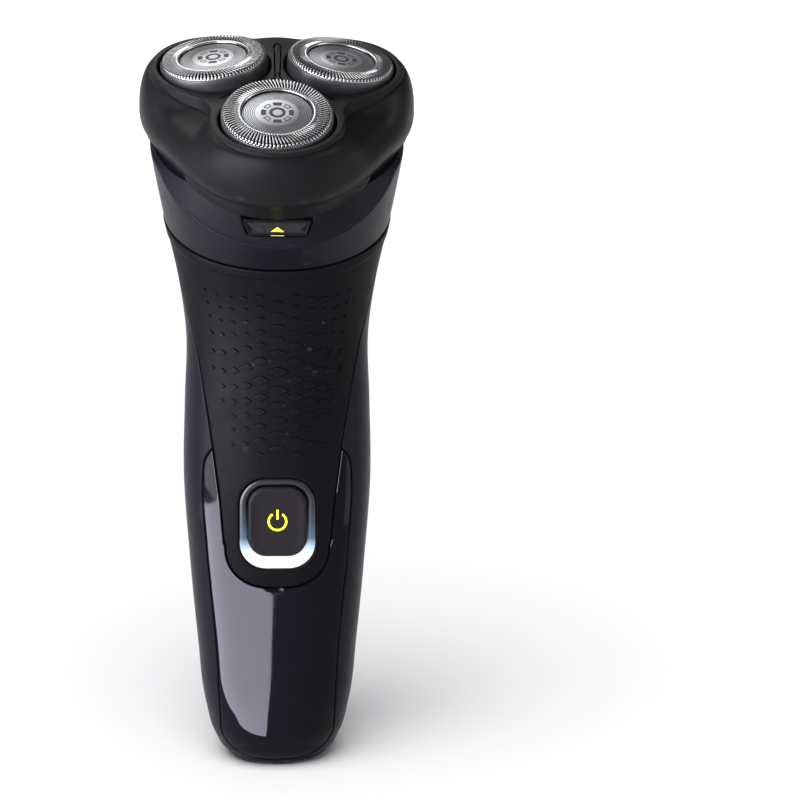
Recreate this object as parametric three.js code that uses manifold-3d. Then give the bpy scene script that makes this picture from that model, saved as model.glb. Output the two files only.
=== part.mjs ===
// A three-head rotary shaver, standing on its base with the shaving unit at the top.
// Millimetres, +Z up the handle, -Y towards the user's thumb side (the front), X = 0 is the mirror plane.
import * as THREE from "three";
import { mergeVertices } from "three/addons/utils/BufferGeometryUtils.js";
import Module from "manifold-3d";

const wasm = await Module();
wasm.setup();

// ---------------------------------------------------------------- driving dimensions

const DEGREE = Math.PI / 180;
const GAP = 0.3; // clearance between neighbouring pieces
const WALL = 2.0; // handle wall
const FLOOR = 2.5; // handle floor

const HEAD_TILT = 28 * DEGREE; // the head leans forward about X
const HEAD_Y = -14.5; // centre of the head's top plane
const HEAD_Z = 159.5;
const SEAM_DROP = 33.2; // head plane down to the handle's top edge, along the head axis
const SEAM_SHIFT = 2.4; // the neck's centre sits behind the head axis

const CAP_RING = 16; // radius of the circle the three caps stand on
const CAP_LEAN = 8 * DEGREE; // each cap leans outward
const CAP_ANGLES = [270, 30, 150]; // degrees about the head axis, front cap first
const APERTURE_RADIUS = 12.4;
const GUARD_RADIUS = 11.45;
const TRACK_INNER = 7.5;

const DRIVE_RING = 15.4; // radius of the circle the three spindles stand on
const CENTRE_TEETH = 24;
const PLANET_TEETH = 16;
const MODULE = (2 * DRIVE_RING) / (CENTRE_TEETH + PLANET_TEETH);

const BUTTON_Z = 62; // power button centre
const BUTTON_WIDTH = 13.1;
const BUTTON_HEIGHT = 16;

const HINGE_Y = 27.8; // flip hinge, in the head frame
const HINGE_H = -15.6;

// Handle sections, bottom to top:
// [height, centre y, tilt in degrees, half width, half depth front, half depth back, exponent]
const SECTIONS = [
  [0, 0, 0, 8, 6.6, 6.6, 2.2],
  [0.5, 0, 0, 10.4, 8.8, 8.8, 2.2],
  [2.2, 0, 0, 12.8, 11, 11, 2.25],
  [6, 0, 0, 15.1, 13.4, 13.5, 2.3],
  [14, 0, 0, 17.25, 15.6, 15.7, 2.4],
  [30, 0, 0, 19, 17.2, 17.2, 2.45],
  [50, 0, 0, 20.7, 18, 18, 2.45],
  [70, 0, 1, 21.9, 17.8, 18, 2.4],
  [88, 0.3, 5, 21.5, 16.8, 17.4, 2.3],
  [103, 1.2, 12, 21.1, 17, 17.6, 2.25],
  [117, 2.3, 20.5, 22.9, 20, 20, 2.2],
];

// ---------------------------------------------------------------- materials

function plastic(color, roughness) {
  return new THREE.MeshStandardMaterial({ color, roughness, metalness: 0 });
}

function metal(color, roughness) {
  return new THREE.MeshStandardMaterial({ color, roughness, metalness: 1 });
}

const satinDark = plastic(0x2f2a33, 0.45);
const matteGrip = plastic(0x2a262d, 0.75);
const pianoGloss = plastic(0x17151c, 0.08);
const collarSatin = plastic(0x35303a, 0.4);
const innerGrey = plastic(0x5a5a5e, 0.7);
const gearWhite = plastic(0xd8d5cc, 0.5);
const boardGreen = plastic(0x1e4a33, 0.6);
const lightGuide = plastic(0xe8f4ff, 0.2);
const steel = metal(0xc8c9cc, 0.2);
const brass = metal(0xc9a44c, 0.35);
const cellBlue = plastic(0x2d5f9e, 0.5);
const capGrey = plastic(0x4a4a50, 0.4);

// ---------------------------------------------------------------- shape helpers

// A smooth curve through [x, y] points.
function curve(points) {
  const slopes = [];
  for (let i = 0; i < points.length - 1; i += 1) {
    slopes.push((points[i + 1][1] - points[i][1]) / (points[i + 1][0] - points[i][0]));
  }
  const tangents = points.map((point, i) => {
    if (i === 0) return slopes[0];
    if (i === points.length - 1) return slopes[i - 1];
    const before = point[0] - points[i - 1][0];
    const after = points[i + 1][0] - point[0];
    return (slopes[i - 1] * after + slopes[i] * before) / (before + after);
  });
  return (x) => {
    const last = points.length - 1;
    const clamped = Math.min(Math.max(x, points[0][0]), points[last][0]);
    let i = 0;
    while (i < last - 1 && clamped > points[i + 1][0]) i += 1;
    const span = points[i + 1][0] - points[i][0];
    const t = (clamped - points[i][0]) / span;
    const low = (1 + 2 * t) * (1 - t) * (1 - t) * points[i][1] + t * (1 - t) * (1 - t) * span * tangents[i];
    const high = t * t * (3 - 2 * t) * points[i + 1][1] - t * t * (1 - t) * span * tangents[i + 1];
    return low + high;
  };
}

function power(value, exponent) {
  return Math.sign(value) * Math.abs(value) ** exponent;
}

// A point on an oval with its own front and back depth; angle 0 is the front, rising towards +X.
function ovalPoint(angle, halfWidth, front, back, exponent) {
  const depth = Math.cos(angle) >= 0 ? front : back;
  const x = halfWidth * power(Math.sin(angle), 2 / exponent);
  const y = -depth * power(Math.cos(angle), 2 / exponent);
  return [x, y];
}

// A closed solid through rings of points, each ring counter-clockwise seen from above, lowest first.
function loft(rings) {
  const count = rings[0].length;
  const positions = rings.flat().flatMap((point) => [point.x, point.y, point.z]);
  const indices = [];
  for (let ring = 0; ring < rings.length - 1; ring += 1) {
    for (let i = 0; i < count; i += 1) {
      const next = (i + 1) % count;
      const [a, b] = [ring * count + i, ring * count + next];
      const [c, d] = [(ring + 1) * count + next, (ring + 1) * count + i];
      indices.push(a, b, c, a, c, d);
    }
  }
  const ends = [rings[0], rings[rings.length - 1]];
  ends.forEach((ring, end) => {
    const centre = ring.reduce((sum, point) => sum.add(point), new THREE.Vector3()).divideScalar(count);
    const hub = positions.length / 3;
    positions.push(centre.x, centre.y, centre.z);
    const start = end === 0 ? 0 : (rings.length - 1) * count;
    for (let i = 0; i < count; i += 1) {
      const next = (i + 1) % count;
      if (end === 0) indices.push(hub, start + next, start + i);
      else indices.push(hub, start + i, start + next);
    }
  });
  const geometry = new THREE.BufferGeometry();
  geometry.setAttribute("position", new THREE.Float32BufferAttribute(positions, 3));
  geometry.setIndex(indices);
  return geometry;
}

function solid(geometry) {
  const bare = geometry.clone();
  bare.deleteAttribute("normal");
  bare.deleteAttribute("uv");
  const merged = mergeVertices(bare, 1e-4);
  const mesh = new wasm.Mesh({
    numProp: 3,
    vertProperties: new Float32Array(merged.attributes.position.array),
    triVerts: new Uint32Array(merged.index.array),
  });
  return new wasm.Manifold(mesh);
}

function geometryOf(manifold) {
  const mesh = manifold.getMesh();
  const geometry = new THREE.BufferGeometry();
  geometry.setAttribute("position", new THREE.BufferAttribute(mesh.vertProperties, 3));
  geometry.setIndex(new THREE.BufferAttribute(mesh.triVerts, 1));
  geometry.computeVertexNormals();
  return geometry;
}

function box(x0, x1, y0, y1, z0, z1) {
  const geometry = new THREE.BoxGeometry(x1 - x0, y1 - y0, z1 - z0);
  return geometry.translate((x0 + x1) / 2, (y0 + y1) / 2, (z0 + z1) / 2);
}

function rod(radius, z0, z1, x = 0, y = 0, sides = 24) {
  const geometry = new THREE.CylinderGeometry(radius, radius, z1 - z0, sides);
  return geometry.rotateX(Math.PI / 2).translate(x, y, (z0 + z1) / 2);
}

function rodAlongX(radius, x0, x1, y, z, sides = 20) {
  return rod(radius, x0, x1, 0, 0, sides).rotateY(Math.PI / 2).translate(0, y, z);
}

function rodAlongY(radius, y0, y1, x, z, sides = 16) {
  return rod(radius, -y1, -y0, 0, 0, sides).rotateX(Math.PI / 2).translate(x, 0, z);
}

function turned(profile, sides = 36) {
  const points = profile.map(([radius, height]) => new THREE.Vector2(radius, height));
  return new THREE.LatheGeometry(points, sides).rotateX(Math.PI / 2);
}

function prism(points, depth) {
  const shape = new THREE.Shape(points.map(([x, y]) => new THREE.Vector2(x, y)));
  return new THREE.ExtrudeGeometry(shape, { depth, bevelEnabled: false });
}

// An outline in X and Z, pushed through from y0 to y1.
function frontPrism(points, y0, y1) {
  return prism(points, y1 - y0).rotateX(Math.PI / 2).translate(0, y1, 0);
}

// An outline in Y and Z, pushed through from x0 to x1.
function sidePrism(points, x0, x1) {
  const turn = new THREE.Matrix4().makeBasis(
    new THREE.Vector3(0, 1, 0),
    new THREE.Vector3(0, 0, 1),
    new THREE.Vector3(1, 0, 0),
  );
  return prism(points, x1 - x0).applyMatrix4(turn).translate(x0, 0, 0);
}

function roundedRectangle(width, height, radius, centreZ) {
  const points = [];
  const corners = [[1, -1, -90], [1, 1, 0], [-1, 1, 90], [-1, -1, 180]];
  const steps = 5;
  for (const [sideX, sideZ, start] of corners) {
    for (let i = 0; i <= steps; i += 1) {
      const angle = (start + (90 * i) / steps) * DEGREE;
      const x = sideX * (width / 2 - radius) + radius * Math.cos(angle);
      const z = centreZ + sideZ * (height / 2 - radius) + radius * Math.sin(angle);
      points.push([x, z]);
    }
  }
  return points;
}

// ---------------------------------------------------------------- handle

const seamPoint = new THREE.Vector3(0, SEAM_SHIFT, -SEAM_DROP)
  .applyAxisAngle(new THREE.Vector3(1, 0, 0), HEAD_TILT)
  .add(new THREE.Vector3(0, HEAD_Y, HEAD_Z));
const SEAM_SECTION = [seamPoint.z, seamPoint.y, HEAD_TILT / DEGREE, 26, 26, 23, 2.12];
const ALL_SECTIONS = [...SECTIONS, SEAM_SECTION];
const sectionCurves = [1, 2, 3, 4, 5, 6].map((column) => {
  return curve(ALL_SECTIONS.map((row) => [row[0], row[column]]));
});

function handleRing(height, inset, sides = 44) {
  const [centreY, tilt, halfWidth, front, back, exponent] = sectionCurves.map((section) => section(height));
  const ring = [];
  for (let i = 0; i < sides; i += 1) {
    const angle = (i / sides) * 2 * Math.PI;
    const [x, y] = ovalPoint(angle, halfWidth - inset, front - inset, back - inset, exponent);
    const lean = tilt * DEGREE;
    ring.push(new THREE.Vector3(x, centreY + y * Math.cos(lean), height + y * Math.sin(lean)));
  }
  return ring;
}

function handleLoft(heights, inset, overshoot) {
  const rings = heights.map((height) => handleRing(height, inset));
  if (overshoot > 0) {
    const alongHead = new THREE.Vector3(0, -Math.sin(HEAD_TILT), Math.cos(HEAD_TILT));
    alongHead.multiplyScalar(overshoot);
    rings.push(rings[rings.length - 1].map((point) => point.clone().add(alongHead)));
  }
  return loft(rings);
}

const SEAM_HEIGHT = seamPoint.z;
const outerHeights = [0, 0.5, 2.2, 5, 9.5, 14, 22, 36, 50, 62, 74, 88, 96, 103, 110, 117, 124, SEAM_HEIGHT];
const innerHeights = [FLOOR, 6, 14, 30, 50, 70, 88, 103, 117, SEAM_HEIGHT];
const handleShell = solid(handleLoft(outerHeights, 0, 0)).subtract(solid(handleLoft(innerHeights, WALL, 3)));

// Half of an outline, mirrored about X = 0; the half runs from the bottom to the top on the +X side.
function mirrored(half) {
  const other = half.map(([x, z]) => [-x, z]).reverse();
  return [...half, ...other];
}

// A quarter of a rounded tongue: from its lowest point up to its full half width.
function tongue(halfWidth, lowest, shoulder, exponent, steps) {
  const points = [];
  for (let i = 1; i <= steps; i += 1) {
    const angle = (i / steps) * (Math.PI / 2);
    const x = halfWidth * Math.sin(angle) ** (2 / exponent);
    const z = shoulder - (shoulder - lowest) * Math.max(Math.cos(angle), 0) ** (2 / exponent);
    points.push([x, z]);
  }
  return points;
}

function gripOutline(grow) {
  const sides = [[13.5, 69.5], [15.3, 81.3], [16.8, 90.2], [19.2, 102], [20.4, 109.8], [27, 118], [40, 150]];
  const tip = tongue(11.9 + grow, 46.4 - grow, 56, 2.4, 8);
  return mirrored([...tip, ...sides.map(([x, z]) => [x + grow, z])]);
}

function panelOutline(grow) {
  const sides = [[14.3, 32.5], [16.3, 55], [17, 72.4], [16.7, 75.2], [15.9, 77.2], [14, 79]];
  const foot = tongue(13.4 + grow, 1.8 - grow, 12, 2.5, 8);
  return mirrored([...foot, ...sides.map(([x, z]) => [x + grow, z])]);
}

// The grip ends at the sides of the neck along this line in Y and Z.
function gripBackLimit(grow) {
  return [[-60, 20], [-5 + grow, 20], [-5 + grow, 110], [4.2 + grow, 134], [4.2 + grow, 150], [-60, 150]];
}

function gripZone(grow) {
  const front = solid(frontPrism(gripOutline(grow), -60, 60));
  return front.intersect(solid(sidePrism(gripBackLimit(grow), -60, 60)));
}

function panelZone(grow) {
  return solid(frontPrism(panelOutline(grow), -60, -3));
}

const RING_WIDTH = 17.1;
const RING_HEIGHT = 20.9;
const RING_INNER_WIDTH = 13.9;
const RING_INNER_HEIGHT = 16.8;
const ringClearance = roundedRectangle(RING_WIDTH + 2 * GAP, RING_HEIGHT + 2 * GAP, 6.3, BUTTON_Z - 0.6);
const ringOpening = frontPrism(ringClearance, -30, -8);

function frontGrip() {
  return handleShell.intersect(gripZone(-GAP / 2)).subtract(solid(ringOpening));
}

function glossPanel() {
  return handleShell.intersect(panelZone(-GAP / 2)).subtract(gripZone(GAP / 2));
}

const SOCKET_HALF_WIDTH = 3.9;
const SOCKET_Y0 = 1.7;
const SOCKET_Y1 = 6.1;

function rearShell() {
  const inlet = box(-SOCKET_HALF_WIDTH, SOCKET_HALF_WIDTH, SOCKET_Y0, SOCKET_Y1, -1, FLOOR + 1);
  return handleShell.subtract(gripZone(GAP / 2)).subtract(panelZone(GAP / 2)).subtract(solid(inlet));
}

// ---------------------------------------------------------------- inside the handle

const BATTERY_RADIUS = 7;
const BATTERY_Y = 4.5;
const BOARD_FRONT = -10.4;
const BOARD_BACK = -9.2;
const PLATE_FRONT = -5.4;
const PLATE_BACK = -3.6;
const boardScrews = [[-7.5, 20], [7.5, 20], [-7.5, 82], [7.5, 82]];

function innerFrame() {
  let frame = solid(box(-12.5, 12.5, PLATE_FRONT, PLATE_BACK, 14, 98));
  for (const z of [22, 56]) {
    frame = frame.add(solid(box(-9, 9, PLATE_BACK - 0.2, 2.5, z - 1.5, z + 1.5)));
  }
  for (const [x, z] of boardScrews) {
    frame = frame.add(solid(rodAlongY(2, BOARD_BACK + GAP, PLATE_FRONT + 0.2, x, z)));
  }
  frame = frame.subtract(solid(rod(BATTERY_RADIUS + GAP, 10, 70, 0, BATTERY_Y, 32)));
  for (const [x, z] of boardScrews) {
    frame = frame.subtract(solid(rodAlongY(1.1, BOARD_BACK - 1, PLATE_BACK - 0.6, x, z, 12)));
  }
  return frame;
}

function circuitBoard() {
  let board = solid(box(-10, 10, BOARD_FRONT, BOARD_BACK, 16, 86));
  for (const [x, z] of boardScrews) {
    board = board.subtract(solid(rodAlongY(1.2, BOARD_FRONT - 1, BOARD_BACK + 1, x, z, 12)));
  }
  return board;
}

function boardScrew(x, z) {
  const head = solid(rodAlongY(1.8, BOARD_FRONT - GAP - 0.9, BOARD_FRONT - GAP, x, z, 14));
  return head.add(solid(rodAlongY(0.8, BOARD_FRONT - GAP - 0.1, PLATE_FRONT - 0.2, x, z, 12)));
}

const LIGHT_FRONT = -17.4;
const LIGHT_BACK = -15.4;

function lightRing() {
  const centreZ = BUTTON_Z - 0.6;
  const outer = frontPrism(roundedRectangle(RING_WIDTH, RING_HEIGHT, 6, centreZ), LIGHT_FRONT, LIGHT_BACK);
  const innerOutline = roundedRectangle(RING_INNER_WIDTH, RING_INNER_HEIGHT, 4.4, BUTTON_Z);
  return solid(outer).subtract(solid(frontPrism(innerOutline, LIGHT_FRONT - 1, LIGHT_BACK + 1)));
}

function powerButton() {
  const outline = roundedRectangle(BUTTON_WIDTH, BUTTON_HEIGHT, 4, BUTTON_Z);
  const face = solid(frontPrism(outline, -18.5, -16.2));
  return face.add(solid(rodAlongY(2, -16.4, -14.9, 0, BUTTON_Z)));
}

function chargingSocket() {
  const low = FLOOR + GAP;
  const housing = solid(box(-5.4, 5.4, 0.2, 7.6, low, 11.5));
  const mouth = box(-SOCKET_HALF_WIDTH, SOCKET_HALF_WIDTH, SOCKET_Y0, SOCKET_Y1, low - 1, 9.8);
  let socket = housing.subtract(solid(mouth));
  for (const side of [-1, 1]) {
    socket = socket.subtract(solid(rod(0.9, 9, 12, side * 1.8, 3.9, 12)));
  }
  return socket;
}

function socketPin(side) {
  return solid(rod(0.55, 5.4, 12.4, side * 1.8, 3.9, 12));
}

// ---------------------------------------------------------------- neck, in the head frame

function neckRing(halfWidth, frontY, backY, exponent, heightAt, sides = 56) {
  const ring = [];
  for (let i = 0; i < sides; i += 1) {
    const angle = (i / sides) * 2 * Math.PI;
    const [x, y] = ovalPoint(angle, halfWidth, SEAM_SHIFT - frontY, backY - SEAM_SHIFT, exponent);
    ring.push(new THREE.Vector3(x, SEAM_SHIFT + y, heightAt(SEAM_SHIFT + y)));
  }
  return ring;
}

const CHAMBER_TOP = -14.4;
const CHAMBER_BOTTOM = -SEAM_DROP + GAP;
const CHAMBER_FLOOR = -30.6;

function ridgeHeight(y) {
  const slope = 0.586; // the ridge droops towards the front
  return Math.min(-8 + (y - SEAM_SHIFT) * slope, CHAMBER_TOP - 0.9);
}

function flat(height) {
  return () => height;
}

const KNUCKLE_RADIUS = 1.9;
const PIN_RADIUS = 0.8;
const PIN_BORE = 1.1;
const FRAME_KNUCKLE = 6; // half length of the shaving unit's knuckle
const CHAMBER_KNUCKLE = 10.3; // outer end of the chamber's knuckles

function hairChamber() {
  const outer = solid(loft([
    neckRing(26, -23.6, 25.4, 2.12, flat(CHAMBER_BOTTOM)),
    neckRing(27.2, -25.3, 25.5, 2.12, (y) => (ridgeHeight(y) + CHAMBER_BOTTOM) / 2),
    neckRing(28.3, -26.6, 25.6, 2.12, ridgeHeight),
    neckRing(27.3, -24.4, 25.2, 2.12, flat(CHAMBER_TOP)),
  ]));
  const inner = solid(loft([
    neckRing(24, -22.5, 23.4, 2.12, flat(CHAMBER_FLOOR)),
    neckRing(25.4, -24.4, 23.6, 2.12, flat(-25)),
    neckRing(25.4, -22.6, 23.4, 2.12, flat(CHAMBER_TOP + 1)),
  ]));
  let chamber = outer.subtract(inner);
  chamber = chamber.subtract(solid(rod(1.5, CHAMBER_BOTTOM - 1, CHAMBER_FLOOR + 1)));
  for (const angle of CAP_ANGLES) {
    const x = DRIVE_RING * Math.cos(angle * DEGREE);
    const y = DRIVE_RING * Math.sin(angle * DEGREE);
    chamber = chamber.subtract(solid(rod(1.5, CHAMBER_FLOOR - 1.4, CHAMBER_FLOOR + 1, x, y, 16)));
  }
  chamber = chamber.subtract(solid(box(-8, 8, -30, -20, -22.6, -16.9)));
  for (const side of [-1, 1]) {
    const x0 = Math.min(side * (FRAME_KNUCKLE + GAP), side * CHAMBER_KNUCKLE);
    const x1 = Math.max(side * (FRAME_KNUCKLE + GAP), side * CHAMBER_KNUCKLE);
    const ear = solid(rodAlongX(KNUCKLE_RADIUS, x0, x1, HINGE_Y, HINGE_H));
    const web = solid(box(x0, x1, 24.4, HINGE_Y + 1.2, -20.5, HINGE_H - 0.2));
    chamber = chamber.add(ear).add(web);
  }
  return chamber.subtract(solid(rodAlongX(PIN_BORE, -12, 12, HINGE_Y, HINGE_H, 16)));
}

function neckPlate(halfWidth, frontY, backY, bottom, top) {
  const rings = [bottom, top].map((height) => neckRing(halfWidth, frontY, backY, 2.12, flat(height), 48));
  return solid(loft(rings));
}

const MOTOR_TOP = -36.3;
const MOTOR_BOTTOM = -53;
const MOTOR_SCREW_X = 5;
const PLATE_TOP = -34.2;
const PLATE_BOTTOM = -36;

function motorPlate() {
  let plate = neckPlate(21.6, -19.2, 20.6, PLATE_BOTTOM, PLATE_TOP);
  plate = plate.subtract(solid(rod(1.6, PLATE_BOTTOM - 1, PLATE_TOP + 1)));
  for (const side of [-1, 1]) {
    plate = plate.subtract(solid(rod(1.2, PLATE_BOTTOM - 1, PLATE_TOP + 1, side * MOTOR_SCREW_X, 0, 12)));
  }
  return plate;
}

function motorCan() {
  let can = solid(rod(7.5, MOTOR_BOTTOM, MOTOR_TOP, 0, 0, 36));
  can = can.subtract(solid(rod(1.3, MOTOR_TOP - 2, MOTOR_TOP + 1)));
  for (const side of [-1, 1]) {
    can = can.subtract(solid(rod(1.2, MOTOR_TOP - 3, MOTOR_TOP + 1, side * MOTOR_SCREW_X, 0, 12)));
  }
  return can;
}

function motorScrew(side) {
  const head = solid(rod(1.7, PLATE_TOP + GAP, PLATE_TOP + GAP + 0.65, side * MOTOR_SCREW_X, 0, 14));
  return head.add(solid(rod(0.8, MOTOR_TOP - 2.4, PLATE_TOP + GAP + 0.1, side * MOTOR_SCREW_X, 0, 12)));
}

function driveCover() {
  let cover = neckPlate(24.6, -23.5, 22.9, -24.6, -23.1);
  for (const angle of CAP_ANGLES) {
    const x = DRIVE_RING * Math.cos(angle * DEGREE);
    const y = DRIVE_RING * Math.sin(angle * DEGREE);
    cover = cover.subtract(solid(rod(3.5, -26, -22, x, y)));
  }
  return cover;
}

// ---------------------------------------------------------------- drive train, in the head frame

function gearOutline(teeth, phase) {
  const pitchRadius = (MODULE * teeth) / 2;
  const halfTooth = 0.24 * MODULE * Math.PI - 0.08; // half the tooth width on the pitch circle
  const flanks = [
    [pitchRadius - 1.2 * MODULE, -halfTooth * 1.55],
    [pitchRadius + 0.85 * MODULE, -halfTooth * 0.5],
    [pitchRadius + 0.85 * MODULE, halfTooth * 0.5],
    [pitchRadius - 1.2 * MODULE, halfTooth * 1.55],
  ];
  const points = [];
  for (let tooth = 0; tooth < teeth; tooth += 1) {
    const centre = phase + (tooth / teeth) * 2 * Math.PI;
    for (const [radius, offset] of flanks) {
      const angle = centre + offset / pitchRadius;
      points.push([radius * Math.cos(angle), radius * Math.sin(angle)]);
    }
  }
  return points;
}

function centreGear() {
  const phase = CAP_ANGLES[0] * DEGREE;
  const wheel = solid(prism(gearOutline(CENTRE_TEETH, phase), 3).translate(0, 0, -29.2));
  return wheel.subtract(solid(rod(1.3, -30, -25)));
}

function motorShaft() {
  return solid(rod(1, MOTOR_TOP - 1.6, -25.6, 0, 0, 20));
}

function driveGear(angle) {
  const x = DRIVE_RING * Math.cos(angle);
  const y = DRIVE_RING * Math.sin(angle);
  const gapTowardsCentre = angle + Math.PI + Math.PI / PLANET_TEETH;
  const teeth = prism(gearOutline(PLANET_TEETH, gapTowardsCentre), 2.6).translate(x, y, -29);
  let gear = solid(teeth).add(solid(rod(3, -26.6, -21, x, y)));
  gear = gear.add(solid(rod(1.2, -31.6, -28.9, x, y)));
  return gear.subtract(solid(rod(1.85, -26, -20, x, y)));
}

function driveSpindle(angle) {
  const x = DRIVE_RING * Math.cos(angle);
  const y = DRIVE_RING * Math.sin(angle);
  const shaft = solid(rod(1.5, -23.6, -6.6, x, y, 20));
  const tip = solid(rod(1.35, -6.7, -5, x, y, 6));
  return shaft.add(tip);
}

// ---------------------------------------------------------------- shaving unit, in the head frame

const LOBE_RADIUS = 14;
const WAIST_RADIUS = 17.6;
const BACK_BULGE = 4.6;

// Radius of the flat top's edge: round lobes about the caps, joined by hollow waists.
function plateauRadius(angle) {
  let lobe = 0;
  for (const cap of CAP_ANGLES) {
    const off = angle - cap * DEGREE;
    const reach = LOBE_RADIUS ** 2 - (CAP_RING * Math.sin(off)) ** 2;
    if (reach > 0 && Math.cos(off) > 0) lobe = Math.max(lobe, CAP_RING * Math.cos(off) + Math.sqrt(reach));
  }
  const waist = WAIST_RADIUS + BACK_BULGE * Math.max(Math.sin(angle), 0) ** 6;
  return (lobe ** 10 + waist ** 10) ** 0.1;
}

function lobed(base, swing) {
  return (angle) => base + swing * Math.cos(3 * (angle - CAP_ANGLES[0] * DEGREE));
}

function unitRing(radiusAt, height, inset = 0, stretch = 1, sides = 72) {
  const ring = [];
  for (let i = 0; i < sides; i += 1) {
    const angle = (i / sides) * 2 * Math.PI;
    const radius = radiusAt(angle) - inset;
    ring.push(new THREE.Vector3(stretch * radius * Math.cos(angle), radius * Math.sin(angle), height));
  }
  return ring;
}

const rim = lobed(26.4, 2.7);
const belt = lobed(29.7, 2.6);
const shoulder = lobed(27.6, 3.2);

function capAxis(angle) {
  return new THREE.Vector3(
    Math.sin(CAP_LEAN) * Math.cos(angle),
    Math.sin(CAP_LEAN) * Math.sin(angle),
    Math.cos(CAP_LEAN),
  );
}

// Moves a shape made about +Z at the origin to stand under cap number i.
function underCap(geometry, angle) {
  const lean = new THREE.Quaternion().setFromUnitVectors(new THREE.Vector3(0, 0, 1), capAxis(angle));
  geometry.applyQuaternion(lean);
  return geometry.translate(CAP_RING * Math.cos(angle), CAP_RING * Math.sin(angle), 0);
}

// The skirt's lip dips over the front of the collar and dies out at its sides. Each table runs over the
// angle from the front, in degrees.
const LIP_END = 55;
const lipRadius = curve([
  [0, 26.35], [18, 26.6], [27, 26.85], [35, 27.05], [41, 27], [48, 26.2], [LIP_END, 24.6],
]);
const lipHeight = curve([
  [0, -18], [18, -17.6], [27, -16.7], [35, -15.7], [41, -14.7], [48, -14], [LIP_END, -14],
]);
const lipWall = curve([[0, 0.6], [41, 0.7], [48, 1.3], [LIP_END, 1.9]]);

function skirtRing(reachAt, heightAt, sides = 72) {
  return unitRing(rim, 0, 0, 1.07, sides).map((point) => {
    const reach = Math.hypot(point.x, point.y);
    const off = Math.acos(-point.y / reach) / DEGREE;
    const scale = reachAt(off, reach) / reach;
    return new THREE.Vector3(point.x * scale, point.y * scale, heightAt(off));
  });
}

function lipReach(off, reach) {
  return off < LIP_END ? Math.max(lipRadius(off), reach - 3) : reach;
}

function lipRing() {
  return skirtRing(lipReach, lipHeight);
}

function creaseRing() {
  return skirtRing((off, reach) => Math.max(reach, off < LIP_END ? lipRadius(off) + 0.15 : 0), () => -13.5);
}

function lipInner(lowered) {
  return skirtRing((off, reach) => lipReach(off, reach) - lipWall(off), (off) => lipHeight(off) - lowered);
}

function topFrame() {
  const outer = solid(loft([
    lipRing(),
    creaseRing(),
    unitRing(lobed(28.9, 2.7), -11.4, 0, 1.02),
    unitRing(belt, -8.5),
    unitRing(shoulder, -4.2),
    unitRing(plateauRadius, -1.1, -0.9),
    unitRing(plateauRadius, 0, 0.5),
    unitRing(plateauRadius, 0.5, 9),
  ]));
  const inner = solid(loft([
    lipInner(1),
    lipInner(0),
    unitRing(belt, -9, 2),
    unitRing(shoulder, -6.3, 2.6),
    unitRing(plateauRadius, -3, 1.2),
  ]));
  let frame = outer.subtract(inner);
  for (const cap of CAP_ANGLES) {
    const hole = underCap(rod(APERTURE_RADIUS, -4.5, 6, 0, 0, 48), cap * DEGREE);
    frame = frame.subtract(solid(hole));
  }
  const knuckle = solid(rodAlongX(KNUCKLE_RADIUS, -FRAME_KNUCKLE, FRAME_KNUCKLE, HINGE_Y, HINGE_H));
  const web = solid(box(-FRAME_KNUCKLE, FRAME_KNUCKLE, 25.8, HINGE_Y + 0.9, HINGE_H, -8));
  const catchArm = solid(box(-3.5, 3.5, -21, -19.8, -18.8, -7.2));
  const catchRoot = solid(box(-3.5, 3.5, -31, -19.8, -8.4, -7.2));
  frame = frame.add(knuckle).add(web).add(catchArm).add(catchRoot);
  return frame.subtract(solid(rodAlongX(PIN_BORE, -12, 12, HINGE_Y, HINGE_H, 16)));
}

function retainingFrame() {
  const [bottom, top] = [-11.4, -9.9];
  const edge = solid(loft([unitRing(rim, bottom, 2.9), unitRing(rim, top, 2.9)]));
  const middle = solid(loft([unitRing(rim, bottom - 1, 5), unitRing(rim, top + 1, 5)]));
  let frame = edge.subtract(middle);
  for (const cap of CAP_ANGLES) {
    const angle = cap * DEGREE;
    const [x, y] = [DRIVE_RING * Math.cos(angle), DRIVE_RING * Math.sin(angle)];
    frame = frame.add(solid(rod(10, bottom, top, x, y, 36)));
  }
  frame = frame.add(solid(rod(9.5, bottom, top, 0, 0, 36)));
  for (const cap of CAP_ANGLES) {
    const angle = cap * DEGREE;
    const [x, y] = [DRIVE_RING * Math.cos(angle), DRIVE_RING * Math.sin(angle)];
    frame = frame.subtract(solid(rod(5.4, bottom - 1, top + 1, x, y, 28)));
  }
  return frame.subtract(solid(box(-4, 4, -24, -19.2, bottom - 1, top + 1)));
}

// ---------------------------------------------------------------- caps and cutters, about the cap axis

function capGuard() {
  return turned([
    [TRACK_INNER, 1.9], [11, 1.9], [11, 0.9], [GUARD_RADIUS, 0.9],
    [GUARD_RADIUS, 2.05], [11.1, 2.4], [7.8, 2.4], [TRACK_INNER, 2.2], [TRACK_INNER, 1.9],
  ], 36);
}

function capTrim() {
  return turned([[0, 1.2], [7.2, 1.2], [7.2, 1.8], [3.6, 1.95], [0, 1.95]], 28);
}

function capHolder() {
  return turned([[10.9, -3], [11.75, -3], [11.85, 0.2], [11.65, 0.6], [10.9, 0.6], [10.9, -3]], 36);
}

const BLADE_COUNT = 15;

function cutter() {
  let disc = solid(turned([
    [0, -2.6], [2.6, -2.6], [2.6, -6], [4, -6], [4, -0.8], [10.2, -0.8], [10.2, -0.1], [0, -0.1],
  ], 30));
  for (let i = 0; i < BLADE_COUNT; i += 1) {
    const blade = box(7.9, 10.1, -0.3, 0.3, -0.3, 1.5);
    blade.rotateZ((i / BLADE_COUNT) * 2 * Math.PI);
    disc = disc.add(solid(blade));
  }
  return geometryOf(disc);
}

// ---------------------------------------------------------------- release button, in the head frame

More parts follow.
